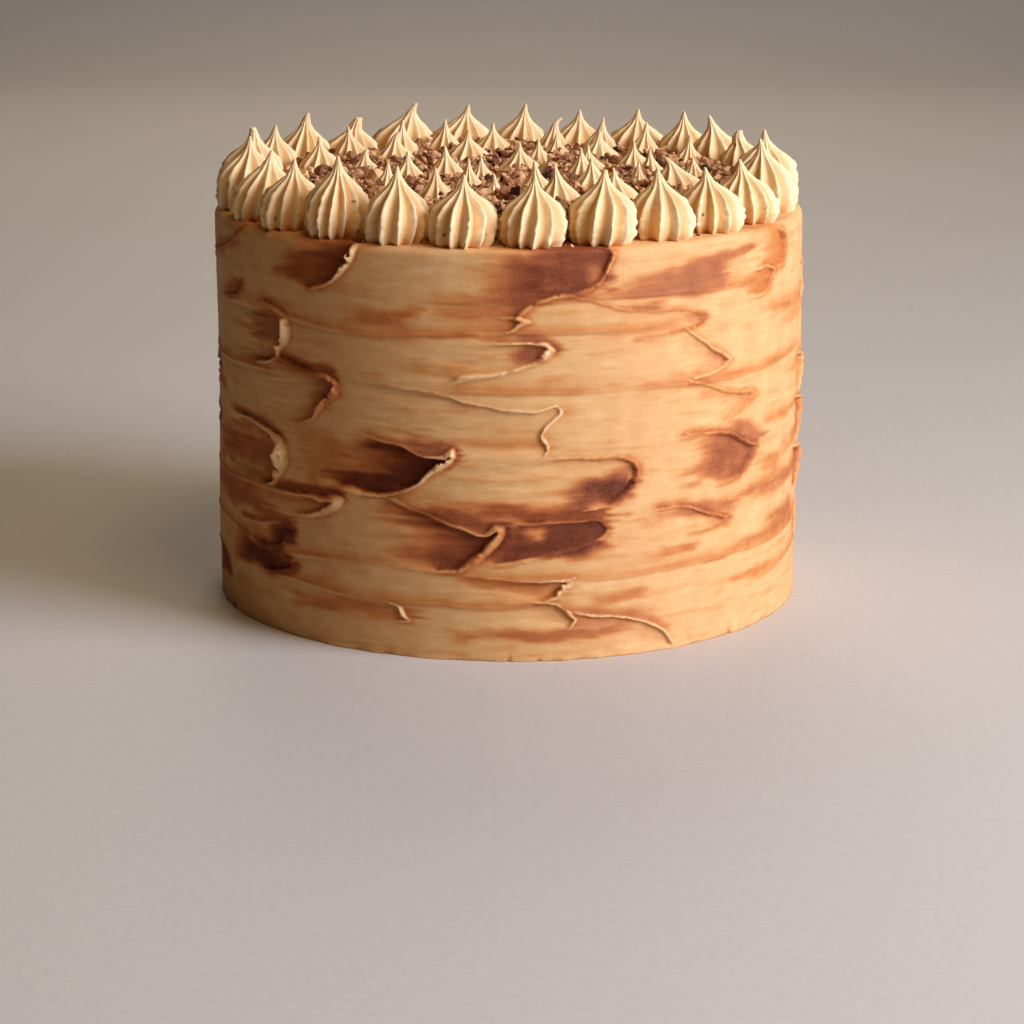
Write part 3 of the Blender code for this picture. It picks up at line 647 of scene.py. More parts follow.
def shape_stroke(side, stroke, at):
    """Cut the floor of a stroke and raise its lip."""
    held = 1.0 - smooth_step(0.2, 0.95, at.left / stroke.length + 0.08 * at.streak)
    floor_start = 0.95 * at.bead + 0.35 + 4.0 * (1.0 - at.sharp)
    floor = smooth_step(0.72 * at.bead, floor_start, at.inside) * held
    crest = 0.35 + 0.40 * at.lip
    profile = smooth_step(0.0, 1.0, at.across / crest) * (1.0 - smooth_step(0.78, 1.03, at.inner))
    thin = min(THIN_HEIGHT, stroke.lip) * smooth_step(0.02, 0.16, at.lip)
    height = (thin + (stroke.lip - thin) * at.lip ** 1.5) * at.ridge
    height = height * (1.0 + 0.25 * at.ragged + 0.12 * at.wander)
    height *= 1.0 - 0.5 * at.torn * at.lip
    raised = height * profile
    side.relief[at.window] = side.relief[at.window] * (1.0 - 0.85 * floor) - stroke.depth * floor + raised
    side.relief[at.window] += 0.30 * (at.ragged - at.torn) * at.lip * profile * at.ridge
    side.drag[at.window] += 0.15 * raised * smooth_step(0.4, 1.6, raised)


def paint_floor(side, stroke, at):
    """Brown on the floor of a stroke, with a painted shadow close to its lip, and brown just above its
    edge.
    """
    blur = 0.35 + 8.0 * (1.0 - at.sharp) + 3.0 * smooth_step(0.3, 1.0, at.left / stroke.smear)
    cover = smooth_step(0.8 * at.bead, 0.85 * at.bead + blur, at.inside + 0.3 * at.torn * at.lip * at.bead)
    cover *= 1.0 - smooth_step(0.25, 1.0, at.left / stroke.smear + 0.16 * at.streak)
    side.brown[at.window] += (stroke.brown - side.brown[at.window]) * cover
    side.tone[at.window] += (stroke.tone - side.tone[at.window]) * cover
    # painted shadow: the lip's shade on the floor close to it, laid on as more brown
    shadow = np.exp(-np.clip(at.inside - 0.8 * at.bead, 0.0, None) / 2.6) * smooth_step(0.5, 0.9, at.inner)
    side.brown[at.window] += stroke.shade * shadow * at.sharp * (0.4 + 0.6 * at.lip)
    above = smooth_step(-4.2, -0.3, at.inside + 0.4 * at.wander) * (1.0 - smooth_step(-0.3, 0.1, at.inside))
    above *= smooth_step(0.45, 0.95, at.upwards) * at.sharp * (1.0 + 0.3 * at.streak)
    side.brown[at.window] = np.maximum(side.brown[at.window], stroke.rim * above)


def paint_lip(side, stroke, at):
    """The colour of the lip, with brown bits where it is torn, and the dark seam outside it."""
    on_lip = smooth_step(0.0, 0.3, at.across) * (1.0 - smooth_step(0.75, 1.05, at.inner)) * at.ridge
    on_lip *= smooth_step(0.05, 0.18, at.lip)
    bits = 0.5 * stroke.brown * smooth_step(0.3, 0.9, at.torn) * at.lip
    side.brown[at.window] += (stroke.curl * (0.3 + 0.7 * at.lip) + bits - side.brown[at.window]) * on_lip
    seam = np.exp(-((at.inside + 0.35) / 0.5) ** 2) * at.ridge * (0.35 + 0.65 * at.lip)
    side.brown[at.window] += 0.3 * seam * (0.3 + stroke.brown + stroke.curl)


def lay_stroke(side, stroke):
    """Lay one stroke on the side, over what lies there."""
    swath = Swath(side, stroke)
    shape_stroke(side, stroke, swath)
    paint_floor(side, stroke, swath)
    paint_lip(side, stroke, swath)


def rough_base(side):
    """The uneven foot of the icing, with small nicks and bulges, and painted shade in the nicks."""
    low = np.exp(-side.levels / 1.7)[:, None]
    bulge = side.around(110, 50)
    nick = side.around(260, 51)
    shown = smooth_step(-0.2, 0.6, side.around(37, 52))
    side.relief += low * (0.45 * bulge - 0.8 * shown * smooth_step(0.35, 0.8, nick))
    # painted shade: more brown in the nicks
    side.brown += low * 0.2 * shown * smooth_step(0.2, 0.9, nick)


def paint_side():
    columns = int(round(2.0 * math.pi * CAKE_RADIUS / SIDE_STEP))
    degrees = np.arange(columns) * 360.0 / columns
    side_top = CAKE_HEIGHT - TOP_EDGE_ROUND
    straight = np.linspace(0.0, side_top, int(round(side_top / SIDE_STEP)) + 1)
    turn = np.radians(90.0 * np.arange(1, EDGE_ROWS + 1) / EDGE_ROWS)
    levels = np.concatenate([straight, side_top + TOP_EDGE_ROUND * np.sin(turn)])
    inset = np.concatenate([np.zeros(len(straight)), TOP_EDGE_ROUND * (1.0 - np.cos(turn))])
    side = Side(degrees, levels)
    lay_ground(side)
    for smudge in list(UNDER_SMUDGES) + back_smudges():
        lay_smudge(side, smudge)
    for stroke in list(FRONT_STROKES) + back_strokes():
        lay_stroke(side, stroke)
    for smudge in OVER_SMUDGES:
        lay_smudge(side, smudge)
    for spot in LIGHT_SPOTS:
        lay_smudge(side, spot, darker=False)
    rough_base(side)
    fade = 1.0 - smooth_step(side_top, CAKE_HEIGHT, levels)[:, None]
    side.relief *= fade
    side.drag *= fade
    return side, inset


def icing_mesh():
    """The iced cake: the side, the rounded top edge, the top and the flat base."""
    side, inset = paint_side()
    rows, columns = side.relief.shape
    angle = np.radians(side.degrees[None, :] + side.drag / MM_PER_DEGREE)
    radius = CAKE_RADIUS - inset[:, None] + side.relief
    level = np.repeat(side.levels[:, None], columns, axis=1)
    top_radius = np.linspace(CAKE_RADIUS - TOP_EDGE_ROUND, 2.0, TOP_RINGS + 1)[1:, None]
    top_angle = np.repeat(np.radians(side.degrees)[None, :], TOP_RINGS, axis=0)
    angle = np.concatenate([angle, top_angle])
    radius = np.concatenate([radius, np.repeat(top_radius, columns, axis=1)])
    level = np.concatenate([level, np.full((TOP_RINGS, columns), CAKE_HEIGHT)])
    points = np.stack([radius * np.sin(angle), -radius * np.cos(angle), level], axis=-1)
    points = points.reshape(-1, 3)
    all_rows = rows + TOP_RINGS
    centres = np.array([[0.0, 0.0, 0.0], [0.0, 0.0, CAKE_HEIGHT]])
    base = all_rows * columns
    faces = [
        ring_faces(all_rows, columns),
        fan_faces(0, columns, base, False),
        fan_faces((all_rows - 1) * columns, columns, base + 1, True),
    ]
    mesh = mesh_from_arrays("icing", np.concatenate([points, centres]), faces)
    spare = np.zeros(TOP_RINGS * columns)
    dust = 1.0 - smooth_step(80.0, 88.0, np.repeat(top_radius, columns, axis=1)).ravel()
    ends = np.zeros(2)
    set_values(mesh, "brown", np.concatenate([side.brown.ravel(), spare, ends]))
    set_values(mesh, "tone", np.concatenate([side.tone.ravel(), spare, ends]))
    set_values(mesh, "dust", np.concatenate([np.zeros(rows * columns), dust, ends]))
    return mesh


# A kiss's half width up its height, as shares of its radius and height
KISS_WIDTHS = (
    (0.0, 0.82), (0.05, 0.90), (0.12, 0.96), (0.20, 0.99), (0.30, 1.0), (0.40, 0.975),
    (0.49, 0.925), (0.57, 0.82), (0.64, 0.655), (0.71, 0.455), (0.78, 0.28), (0.85, 0.165),
    (0.92, 0.095), (1.0, 0.035),
)
# The depth of its grooves up its height, as a share of its radius there
KISS_GROOVES = ((0.0, 0.30), (0.12, 0.21), (0.35, 0.20), (0.6, 0.26), (0.75, 0.24), (0.9, 0.10), (1.0, 0.0))
KISS_TWIST = math.radians(14.0)
KISS_LEAN_POWER = 1.5
KISS_SINK = 0.4
KISS_SEED = 100
ANY_PHASE = (0, 6.3)
COLUMNS_PER_RIDGE = 10 if FINE else 6
RIM_RIDGES = 12
RIM_ROWS = 44 if FINE else 20
RIM_TURN_STEP = 0.4
INNER_RIDGES = 10
INNER_ROWS = 26 if FINE else 16
INNER_TURN_STEP = 0.7

# Tips that bend over or end blunt: which kiss, bend along +X in mm, blunt end's extra width
ODD_RIM_TIPS = {
    2: (0.3, 0.02), 8: (2.4, 0.05), 15: (0.6, 0.03), 16: (0.4, 0.09), 17: (0.7, 0.02), 19: (-0.6, 0.05),
}
ODD_INNER_TIPS = {30: (2.0, 0.05), 27: (1.4, 0.08), 22: (-1.6, 0.0), 34: (0.8, 0.06)}


class Kiss(NamedTuple):
    """A piped kiss: where it stands, its size, and how its tip leans, all in mm."""
    x: float
    y: float
    height: float
    radius: float
    lean_x: float
    lean_y: float
    turn: float      # radians
    ridges: int
    rows: int
    bend: float      # how far the last of the tip bends over along +X
    blunt: float     # extra width of the tip, as a share of the radius


def rim_kisses():
    kisses = []
    for index, (height, sideways) in enumerate(RIM_KISSES):
        angle = math.radians(RIM_FIRST_ANGLE + index * 360.0 / len(RIM_KISSES))
        outward = Vector((math.sin(angle), -math.cos(angle)))
        turn = math.atan2(outward.y, outward.x) + RIM_TURN_STEP * index
        bend, blunt = ODD_RIM_TIPS.get(index + 1, (0.0, 0.0))
        kisses.append(Kiss(
            x=RIM_RADIUS * outward.x,
            y=RIM_RADIUS * outward.y,
            height=height,
            radius=RIM_KISS_RADIUS,
            lean_x=sideways - RIM_LEAN_IN * outward.x,
            lean_y=-RIM_LEAN_IN * outward.y,
            turn=turn,
            ridges=RIM_RIDGES,
            rows=RIM_ROWS,
            bend=bend,
            blunt=blunt,
        ))
    return kisses


def inner_kisses():
    kisses = []
    for index, (x, y, height, radius, lean_x, lean_y) in enumerate(INNER_KISSES):
        bend, blunt = ODD_INNER_TIPS.get(index + 1, (0.0, 0.0))
        turn = INNER_TURN_STEP * index
        size = (height, radius, lean_x, lean_y)
        kisses.append(Kiss(x, y, *size, turn, INNER_RIDGES, INNER_ROWS, bend, blunt))
    return kisses


def kiss_angles(kiss, share, step, groove, draw):
    """The angle of each point of a kiss, and three random numbers for the ridge that it is on."""
    round_it = 2.0 * np.pi * step / step.size
    uneven = 0.10 * np.sin(round_it + draw.uniform(*ANY_PHASE))
    uneven = uneven + 0.06 * np.sin(2 * round_it + draw.uniform(*ANY_PHASE))
    angle = kiss.turn + round_it + uneven + KISS_TWIST * share
    ridge = (step + COLUMNS_PER_RIDGE // 2) // COLUMNS_PER_RIDGE % kiss.ridges
    sway = draw.uniform(-1.0, 1.0, (3, kiss.ridges))[:, ridge[0]]
    crest = 1.0 - groove
    return angle + crest * 0.035 * np.sin(5.0 * share + 3.0 * sway[0][None, :]), sway


def kiss_reaches(kiss, share, step, groove, sway, draw):
    """How far each point of a kiss is from its middle: its outline, grooves and ragged crests."""
    round_it = 2.0 * np.pi * step / step.size
    fuller = draw.uniform(-1.0, 1.0) * 0.10 * np.sin(np.pi * np.clip((share - 0.3) / 0.55, 0.0, 1.0))
    width = curve_through(*zip(*KISS_WIDTHS), share) + fuller
    width = width + kiss.blunt * smooth_step(0.72, 0.92, share)
    depth = curve_through(*zip(*KISS_GROOVES), share) * (1.0 + 0.18 * sway[1][None, :])
    reach = kiss.radius * width * (1.0 - depth * groove)
    reach = reach * (1.0 + 0.03 * np.sin(round_it + draw.uniform(*ANY_PHASE)))
    rough = draw.normal(size=reach.shape)
    ragged = (rough + np.roll(rough, 1, axis=0) + np.roll(rough, -1, axis=0)) / 3.0
    notches = 0.040 * ragged + 0.02 * sway[2][None, :]
    crest = 1.0 - groove
    reach = reach * (1.0 + crest * notches * smooth_step(0.0, 0.1, share))
    return reach + 0.05 * rough


def kiss_surface(kiss, seed):
    """Points of a kiss in rows from its foot to its tip, and how deep in a groove each is, which sets the
    painted shade of the grooves.
    """
    draw = np.random.default_rng(seed)
    share = np.linspace(0.0, 1.0, kiss.rows)[:, None]
    step = np.arange(kiss.ridges * COLUMNS_PER_RIDGE)[None, :]
    groove = np.abs(np.sin(np.pi * step / COLUMNS_PER_RIDGE)) ** 0.85
    angle, sway = kiss_angles(kiss, share, step, groove, draw)
    reach = kiss_reaches(kiss, share, step, groove, sway, draw)
    bent = kiss.bend * np.clip((share - 0.80) / 0.20, 0.0, 1.0) ** 2
    level = (kiss.height + KISS_SINK) * share - KISS_SINK
    level = level - 0.35 * abs(kiss.bend) * np.clip((share - 0.86) / 0.14, 0.0, 1.0) ** 2
    lean = share ** KISS_LEAN_POWER
    points = np.stack([
        kiss.x + reach * np.cos(angle) + kiss.lean_x * lean + bent,
        kiss.y + reach * np.sin(angle) + kiss.lean_y * lean,
        CAKE_HEIGHT + level + np.zeros_like(reach),
    ], axis=-1)
    # painted shade: deeper in a groove is coloured darker, less so towards the tip
    shade = groove * (1.0 - 0.5 * smooth_step(0.55, 0.9, share))
    return points, shade


def kiss_mesh(name, kiss, seed):
    points, shade = kiss_surface(kiss, seed)
    rows, columns = shade.shape
    bottom = points[0].mean(axis=0)
    top = points[-1].mean(axis=0) + np.array([0.0, 0.0, 0.25])
    last = rows * columns
    faces = [
        ring_faces(rows, columns),
        fan_faces(0, columns, last, False),
        fan_faces((rows - 1) * columns, columns, last + 1, True),
    ]
    mesh = mesh_from_arrays(name, np.concatenate([points.reshape(-1, 3), [bottom, top]]), faces)
    # the groove attribute carries the grooves' painted shade
    set_values(mesh, "groove", np.concatenate([shade.ravel(), [0.5, 0.0]]))
    return mesh


def add_kisses(material):
    kisses = []
    for ring, made in (("rim", rim_kisses()), ("inner", inner_kisses())):
        for index, kiss in enumerate(made):
            number = f"{index + 1:02d}"
            mesh = kiss_mesh(f"piped_{ring}_{number}", kiss, len(kisses) + KISS_SEED)
            add_piece(f"piped_{ring}_{number}", mesh, material, [f"{ring}_kiss_{number}"])
            kisses.append(kiss)
    return kisses


# The chopped crumbs: the largest lie where the CAD has them
CRUMB_FIELD_RADIUS = 85.0
CRUMB_CLEARANCE = 0.6
CRUMB_COUNT = 108
CRUMB_SMALLEST = 2.8
CRUMB_LARGEST = 6.2
CRUMB_SEED = 41
MEDIUM_COUNT = 1500 if FINE else 700
SMALL_COUNT = 5200 if FINE else 2000
STUCK_COUNT = 90
FALLEN_COUNT = 14
BED_HEIGHT = 10.2
BED_RADIUS = 87.0
CHUNK_LIFT = 2.2
MEDIUM_SIZES = (1.1, 2.4)
SMALL_SIZES = (0.45, 1.1)
STUCK_SIZES = (0.45, 1.15)
FALLEN_SIZES = (0.6, 1.2)
FALLEN_DISTANCES = (97.5, 102.0)
PLACES_TRIED = 3

# How many of the crumbs are chocolate: the large, the loose, the stuck and the fallen ones
LARGE_CHOCOLATE = 0.3
LOOSE_CHOCOLATE = 0.28
STUCK_CHOCOLATE = 0.75
FALLEN_CHOCOLATE = 0.6

# The grids of the bed and of the heap's height
BED_RINGS = 64
BED_COLUMNS = 300
HEIGHT_CELL = 0.5
HEIGHT_REACH = 108.0

# The largest chopped pieces: place, half sizes along, across and up in mm, turn and tilt in degrees,
# whether it is chocolate, and how dark
LARGE_CHUNKS = (
    (-47, -55, 7.6, 4.6, 8.0, 40, 8, False, 0.30),
    (-9, -63, 5.6, 4.2, 8.6, -8, 10, False, 0.15),
    (2.5, -67, 2.6, 4.8, 11.0, 20, 16, True, 0.95),
    (-60, -22, 5.6, 4.2, 6.0, 70, 10, True, 0.45),
    (60, 12, 5.0, 3.8, 6.4, 15, 12, False, 0.40),
)


class Lumps:
    """Places, half sizes, turns and shades of many lumps of one kind."""

    def __init__(self):
        self.places = []
        self.sizes = []
        self.turns = []
        self.shades = []

    def add(self, place, size, turn, shade):
        self.places.append(place)
        self.sizes.append(size)
        self.turns.append(turn)
        self.shades.append(shade)


def turn_matrix(axis, angle):
    """A rotation matrix for an axis of length 1 and an angle in radians."""
    x, y, z = axis
    cross = np.array([[0.0, -z, y], [z, 0.0, -x], [-y, x, 0.0]])
    return np.eye(3) + math.sin(angle) * cross + (1.0 - math.cos(angle)) * cross @ cross


def any_turn(draw):
    axis = draw.normal(size=3)
    return turn_matrix(axis / np.linalg.norm(axis), draw.uniform(0.0, math.pi))


def clear_of_kisses(x, y, reach, kisses, share=1.0):
    """Whether a crumb of this reach keeps its distance from every kiss."""
    return all(math.hypot(kiss.x - x, kiss.y - y) >= kiss.radius * share + reach for kiss in kisses)


def at_bed_height(kiss):
    """The kiss, with the radius that it has where it rises out of the fine crumbs."""
    share = (BED_HEIGHT + KISS_SINK) / (kiss.height + KISS_SINK)
    return kiss._replace(radius=kiss.radius * float(np.interp(share, *zip(*KISS_WIDTHS))))


def crumb_places(draw, kisses):
    """Places and sizes of the large crumbs, by the rule that the CAD has too."""
    crumbs = []
    while len(crumbs) < CRUMB_COUNT:
        distance = CRUMB_FIELD_RADIUS * math.sqrt(draw.random())
        angle = draw.uniform(0.0, 2.0 * math.pi)
        size = draw.uniform(CRUMB_SMALLEST, CRUMB_LARGEST)
        x = distance * math.sin(angle)
        y = distance * math.cos(angle)
        if clear_of_kisses(x, y, size + CRUMB_CLEARANCE, kisses):
            crowding = [other for other in crumbs if math.hypot(other[0] - x, other[1] - y) < size]
            if not crowding:
                crumbs.append((x, y, size))
    return crumbs


def plane_noise(x, y, cell, seed):
    """Smooth noise from -1 to 1 over the top, with lumps about as wide as a cell, in mm."""
    size = int(2 * HEIGHT_REACH / cell) + 3
    lattice = np.random.default_rng(seed).uniform(-1.0, 1.0, (size, size))
    across = (x + HEIGHT_REACH) / cell
    along = (y + HEIGHT_REACH) / cell
    column = across.astype(int)
    row = along.astype(int)
    share_x = smooth_step(0.0, 1.0, across - column)
    share_y = smooth_step(0.0, 1.0, along - row)
    near = lattice[row, column] * (1 - share_x) + lattice[row, column + 1] * share_x
    far = lattice[row + 1, column] * (1 - share_x) + lattice[row + 1, column + 1] * share_x
    return near * (1 - share_y) + far * share_y


def bed_height(x, y):
    """How high the fine crumbs lie, in mm above the icing, at places on the top."""
    distance = np.hypot(x, y)
    lumps = 1.8 * plane_noise(x, y, 13.0, 60) + 1.0 * plane_noise(x, y, 4.3, 61)
    lumps = lumps + 0.45 * plane_noise(x, y, 1.9, 62)
    return (BED_HEIGHT + lumps) * (1.0 - smooth_step(BED_RADIUS - 7.0, BED_RADIUS, distance)) - 0.5


class Heap:
    """How high the crumbs lie already, on a grid over the top."""

    def __init__(self):
        self.cells = int(2 * HEIGHT_REACH / HEIGHT_CELL)
        place = (np.arange(self.cells) + 0.5) * HEIGHT_CELL - HEIGHT_REACH
        x, y = np.meshgrid(place, place)
        self.height = np.maximum(bed_height(x, y), 0.0)

    def index(self, value):
        return int(round((value + HEIGHT_REACH) / HEIGHT_CELL))

    def at(self, x, y):
        column, row = self.index(x), self.index(y)
        return self.height[row - 1:row + 2, column - 1:column + 2].mean()

    def lay(self, x, y, middle, reach, rise):
        """Raise the heap to a lump's upper side."""
        span = max(1, int(math.ceil(reach / HEIGHT_CELL)))
        column, row = self.index(x), self.index(y)
        patch = self.height[row - span:row + span + 1, column - span:column + span + 1]
        away = np.arange(-span, span + 1) * HEIGHT_CELL / reach
        dome = 1.0 - away[None, :] ** 2 - away[:, None] ** 2
        upper = np.where(dome > 0.0, middle + rise * np.sqrt(np.clip(dome, 0.0, None)), 0.0)
        np.maximum(patch, upper, out=patch)


def lay_large_crumbs(kinds, heap, kisses):
    """Lay the crumbs and chunks that the CAD has, at their places there, and give back the chunks."""
    draw = random.Random(CRUMB_SEED)
    loose = np.random.default_rng(CRUMB_SEED)
    for x, y, size in crumb_places(draw, kisses):
        half = np.array([size, size * loose.uniform(0.7, 1.0), size * loose.uniform(0.7, 0.95)]) * 0.78
        level = max(half[2] * loose.uniform(0.25, 0.6), heap.at(x, y) + 0.25 * half[2])
        kind = kinds[int(loose.random() < LARGE_CHOCOLATE)]
        tilt = turn_matrix((1.0, 0.0, 0.0), loose.uniform(-0.5, 0.5))
        turn = turn_matrix((0.0, 0.0, 1.0), loose.uniform(0, math.pi)) @ tilt
        kind.add((x, y, level), half, turn, loose.random())
        heap.lay(x, y, level, half[:2].mean(), half[2])
    chunks = [Lumps(), Lumps()]
    for x, y, along, across, up, turn, tilt, chocolate, shade in LARGE_CHUNKS:
        level = 0.55 * up + CHUNK_LIFT
        tilted = turn_matrix((1.0, 0.0, 0.0), math.radians(tilt))
        turned = turn_matrix((0.0, 0.0, 1.0), math.radians(turn)) @ tilted
        chunks[int(chocolate)].add((x, y, level), np.array([along, across, up]), turned, shade)
        heap.lay(x, y, level, 0.5 * (along + across), up)
    return chunks


def lay_loose_crumbs(kinds, heap, kisses, count, sizes, draw):
    """Crumbs at random places, each where the heap is lowest of a few tries."""
    smallest, largest = sizes
    placed = 0
    while placed < count:
        size = smallest + (largest - smallest) * draw.random() ** 1.7
        tries = []
        for attempt in range(PLACES_TRIED):
            distance = (CRUMB_FIELD_RADIUS + 3.0) * math.sqrt(draw.random())
            angle = draw.uniform(0.0, 2.0 * math.pi)
            x, y = distance * math.sin(angle), distance * math.cos(angle)
            if clear_of_kisses(x, y, 0.35 * size, kisses, 0.94):
                tries.append((heap.at(x, y), x, y))
        if not tries:
            continue
        low, x, y = min(tries)
        half = size * np.array([1.0, draw.uniform(0.65, 1.0), draw.uniform(0.55, 0.9)])
        level = low + 0.45 * size
        kind = kinds[int(draw.random() < LOOSE_CHOCOLATE)]
        kind.add((x, y, level), half, any_turn(draw), draw.random())
        heap.lay(x, y, level, 0.85 * size, 0.7 * size)
        placed += 1


def lay_stuck_crumbs(kinds, kisses, draw):
    """The few crumbs that stick to the kisses, and those that fell between the rim's kisses."""
    for index in draw.integers(0, len(kisses), STUCK_COUNT):
        points, _ = kiss_surface(kisses[index], index + KISS_SEED)
        row = draw.integers(int(0.12 * len(points)), int(0.72 * len(points)))
        place = points[row, draw.integers(points.shape[1])] - np.array([0.0, 0.0, CAKE_HEIGHT])
        size = draw.uniform(*STUCK_SIZES)
        kind = kinds[int(draw.random() < STUCK_CHOCOLATE)]
        kind.add(tuple(place), size * draw.uniform(0.6, 1.0, 3), any_turn(draw), draw.random())
    for fallen in range(FALLEN_COUNT):
        gap = draw.integers(len(RIM_KISSES)) + 0.5
        angle = math.radians(RIM_FIRST_ANGLE + gap * 360.0 / len(RIM_KISSES) + draw.uniform(-1.5, 1.5))
        distance = draw.uniform(*FALLEN_DISTANCES)
        size = draw.uniform(*FALLEN_SIZES)
        kind = kinds[int(draw.random() < FALLEN_CHOCOLATE)]
        place = (distance * math.sin(angle), -distance * math.cos(angle), 0.5 * size)
        kind.add(place, size * draw.uniform(0.6, 1.0, 3), any_turn(draw), draw.random())


def lump_template(level, cuts, rough, seed):
    """A broken lump of radius about 1: a sphere with flat faces broken off."""
    shape = bmesh.new()
    bmesh.ops.create_icosphere(shape, subdivisions=level, radius=1.0)
    shape.verts.index_update()
    points = np.array([vertex.co[:] for vertex in shape.verts])
    faces = np.array([[vertex.index for vertex in face.verts] for face in shape.faces])
    shape.free()
    draw = np.random.default_rng(seed)
    for cut in range(cuts):
        normal = draw.normal(size=3)
        normal /= np.linalg.norm(normal)
        over = np.clip(points @ normal - draw.uniform(0.40, 0.80), 0.0, None)
        points = points - over[:, None] * normal
    points = points * (1.0 + rough * draw.normal(size=(len(points), 1)))
    return points / np.abs(points).max(axis=0), faces


def add_lumps(name, groups, material):
    """One joined piece of many lumps; groups pairs lumps with the templates that they are made from."""
    all_points, all_faces, all_shades = [], [], []
    count = 0
    for lumps, templates in groups:
        for index, (points, faces) in enumerate(templates):
            chosen = slice(index, None, len(templates))
            places = np.array(lumps.places[chosen])
            if not len(places):
                continue
            sizes = np.array(lumps.sizes[chosen])
            turns = np.array(lumps.turns[chosen])
            shades = np.array(lumps.shades[chosen])
            made = np.einsum("lij,lpj->lpi", turns, points[None] * sizes[:, None, :]) + places[:, None, :]
            starts = count + np.arange(len(places))[:, None, None] * len(points)
            all_points.append(made.reshape(-1, 3))
            all_faces.append((faces[None] + starts).reshape(-1, 3))
            all_shades.append(np.repeat(shades, len(points)))
            count += len(places) * len(points)
    points = np.concatenate(all_points)
    points[:, 2] = np.maximum(points[:, 2], -0.2) + CAKE_HEIGHT
    mesh = mesh_from_arrays(name, points, all_faces)
    mesh.shade_flat()
    set_values(mesh, "shade", np.concatenate(all_shades))
    add_loose(name, mesh, material)


def add_bed(material):
    """The fine crumbs under the larger ones: a low heap with an uneven top."""
    distance = np.linspace(BED_RADIUS, 1.0, BED_RINGS)[:, None]
    angle = np.radians(np.arange(BED_COLUMNS) * 360.0 / BED_COLUMNS)[None, :]
    x, y = distance * np.sin(angle), -distance * np.cos(angle)
    points = np.stack([x, y, CAKE_HEIGHT + bed_height(x, y)], axis=-1).reshape(-1, 3)
    middle = np.array([[0.0, 0.0, CAKE_HEIGHT - 0.5], [0.0, 0.0, CAKE_HEIGHT + BED_HEIGHT - 0.5]])
    last = BED_RINGS * BED_COLUMNS
    faces = [
        ring_faces(BED_RINGS, BED_COLUMNS),
        fan_faces(0, BED_COLUMNS, last, False),
        fan_faces((BED_RINGS - 1) * BED_COLUMNS, BED_COLUMNS, last + 1, True),
    ]
    mesh = mesh_from_arrays("crumb_bed", np.concatenate([points, middle]), faces)
    set_values(mesh, "shade", 0.55 + 0.3 * plane_noise(np.append(x, [0, 0]), np.append(y, [0, 0]), 3.0, 63))
    add_loose("crumb_bed", mesh, material)


def add_loose(name, mesh, material):
    mesh.materials.append(material)
    piece = bpy.data.objects.new(name, mesh)
    bpy.context.scene.collection.objects.link(piece)
    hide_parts("cake")
    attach(piece, "root")


def add_crumbs(kisses, tan, chocolate):
    """All the crumbs, largest first, each kind in one piece made from a few broken lumps."""
    draw = np.random.default_rng(CRUMB_SEED + 1)
    heap = Heap()
    large = [Lumps(), Lumps()]
    medium = [Lumps(), Lumps()]
    small = [Lumps(), Lumps()]
    chunks = lay_large_crumbs(large, heap, kisses)
    necks = [at_bed_height(kiss) for kiss in kisses]
    lay_loose_crumbs(medium, heap, necks, MEDIUM_COUNT, MEDIUM_SIZES, draw)
    lay_loose_crumbs(small, heap, necks, SMALL_COUNT, SMALL_SIZES, draw)
    lay_stuck_crumbs(small, kisses, draw)
    boulders = [lump_template(4, 16, 0.012, 200 + index) for index in range(3)]
    rocks = [lump_template(3, 14, 0.02, 210 + index) for index in range(6)]
    stones = [lump_template(2, 9, 0.03, 220 + index) for index in range(8)]
    grains = [lump_template(1, 5, 0.05, 230 + index) for index in range(8)]
    pieces = (("crumbs_biscuit", tan), ("crumbs_chocolate", chocolate))
    for kind, (name, material) in enumerate(pieces):
        groups = [
            (chunks[kind], boulders), (large[kind], rocks), (medium[kind], stones), (small[kind], grains),
        ]
        add_lumps(name, groups, material)


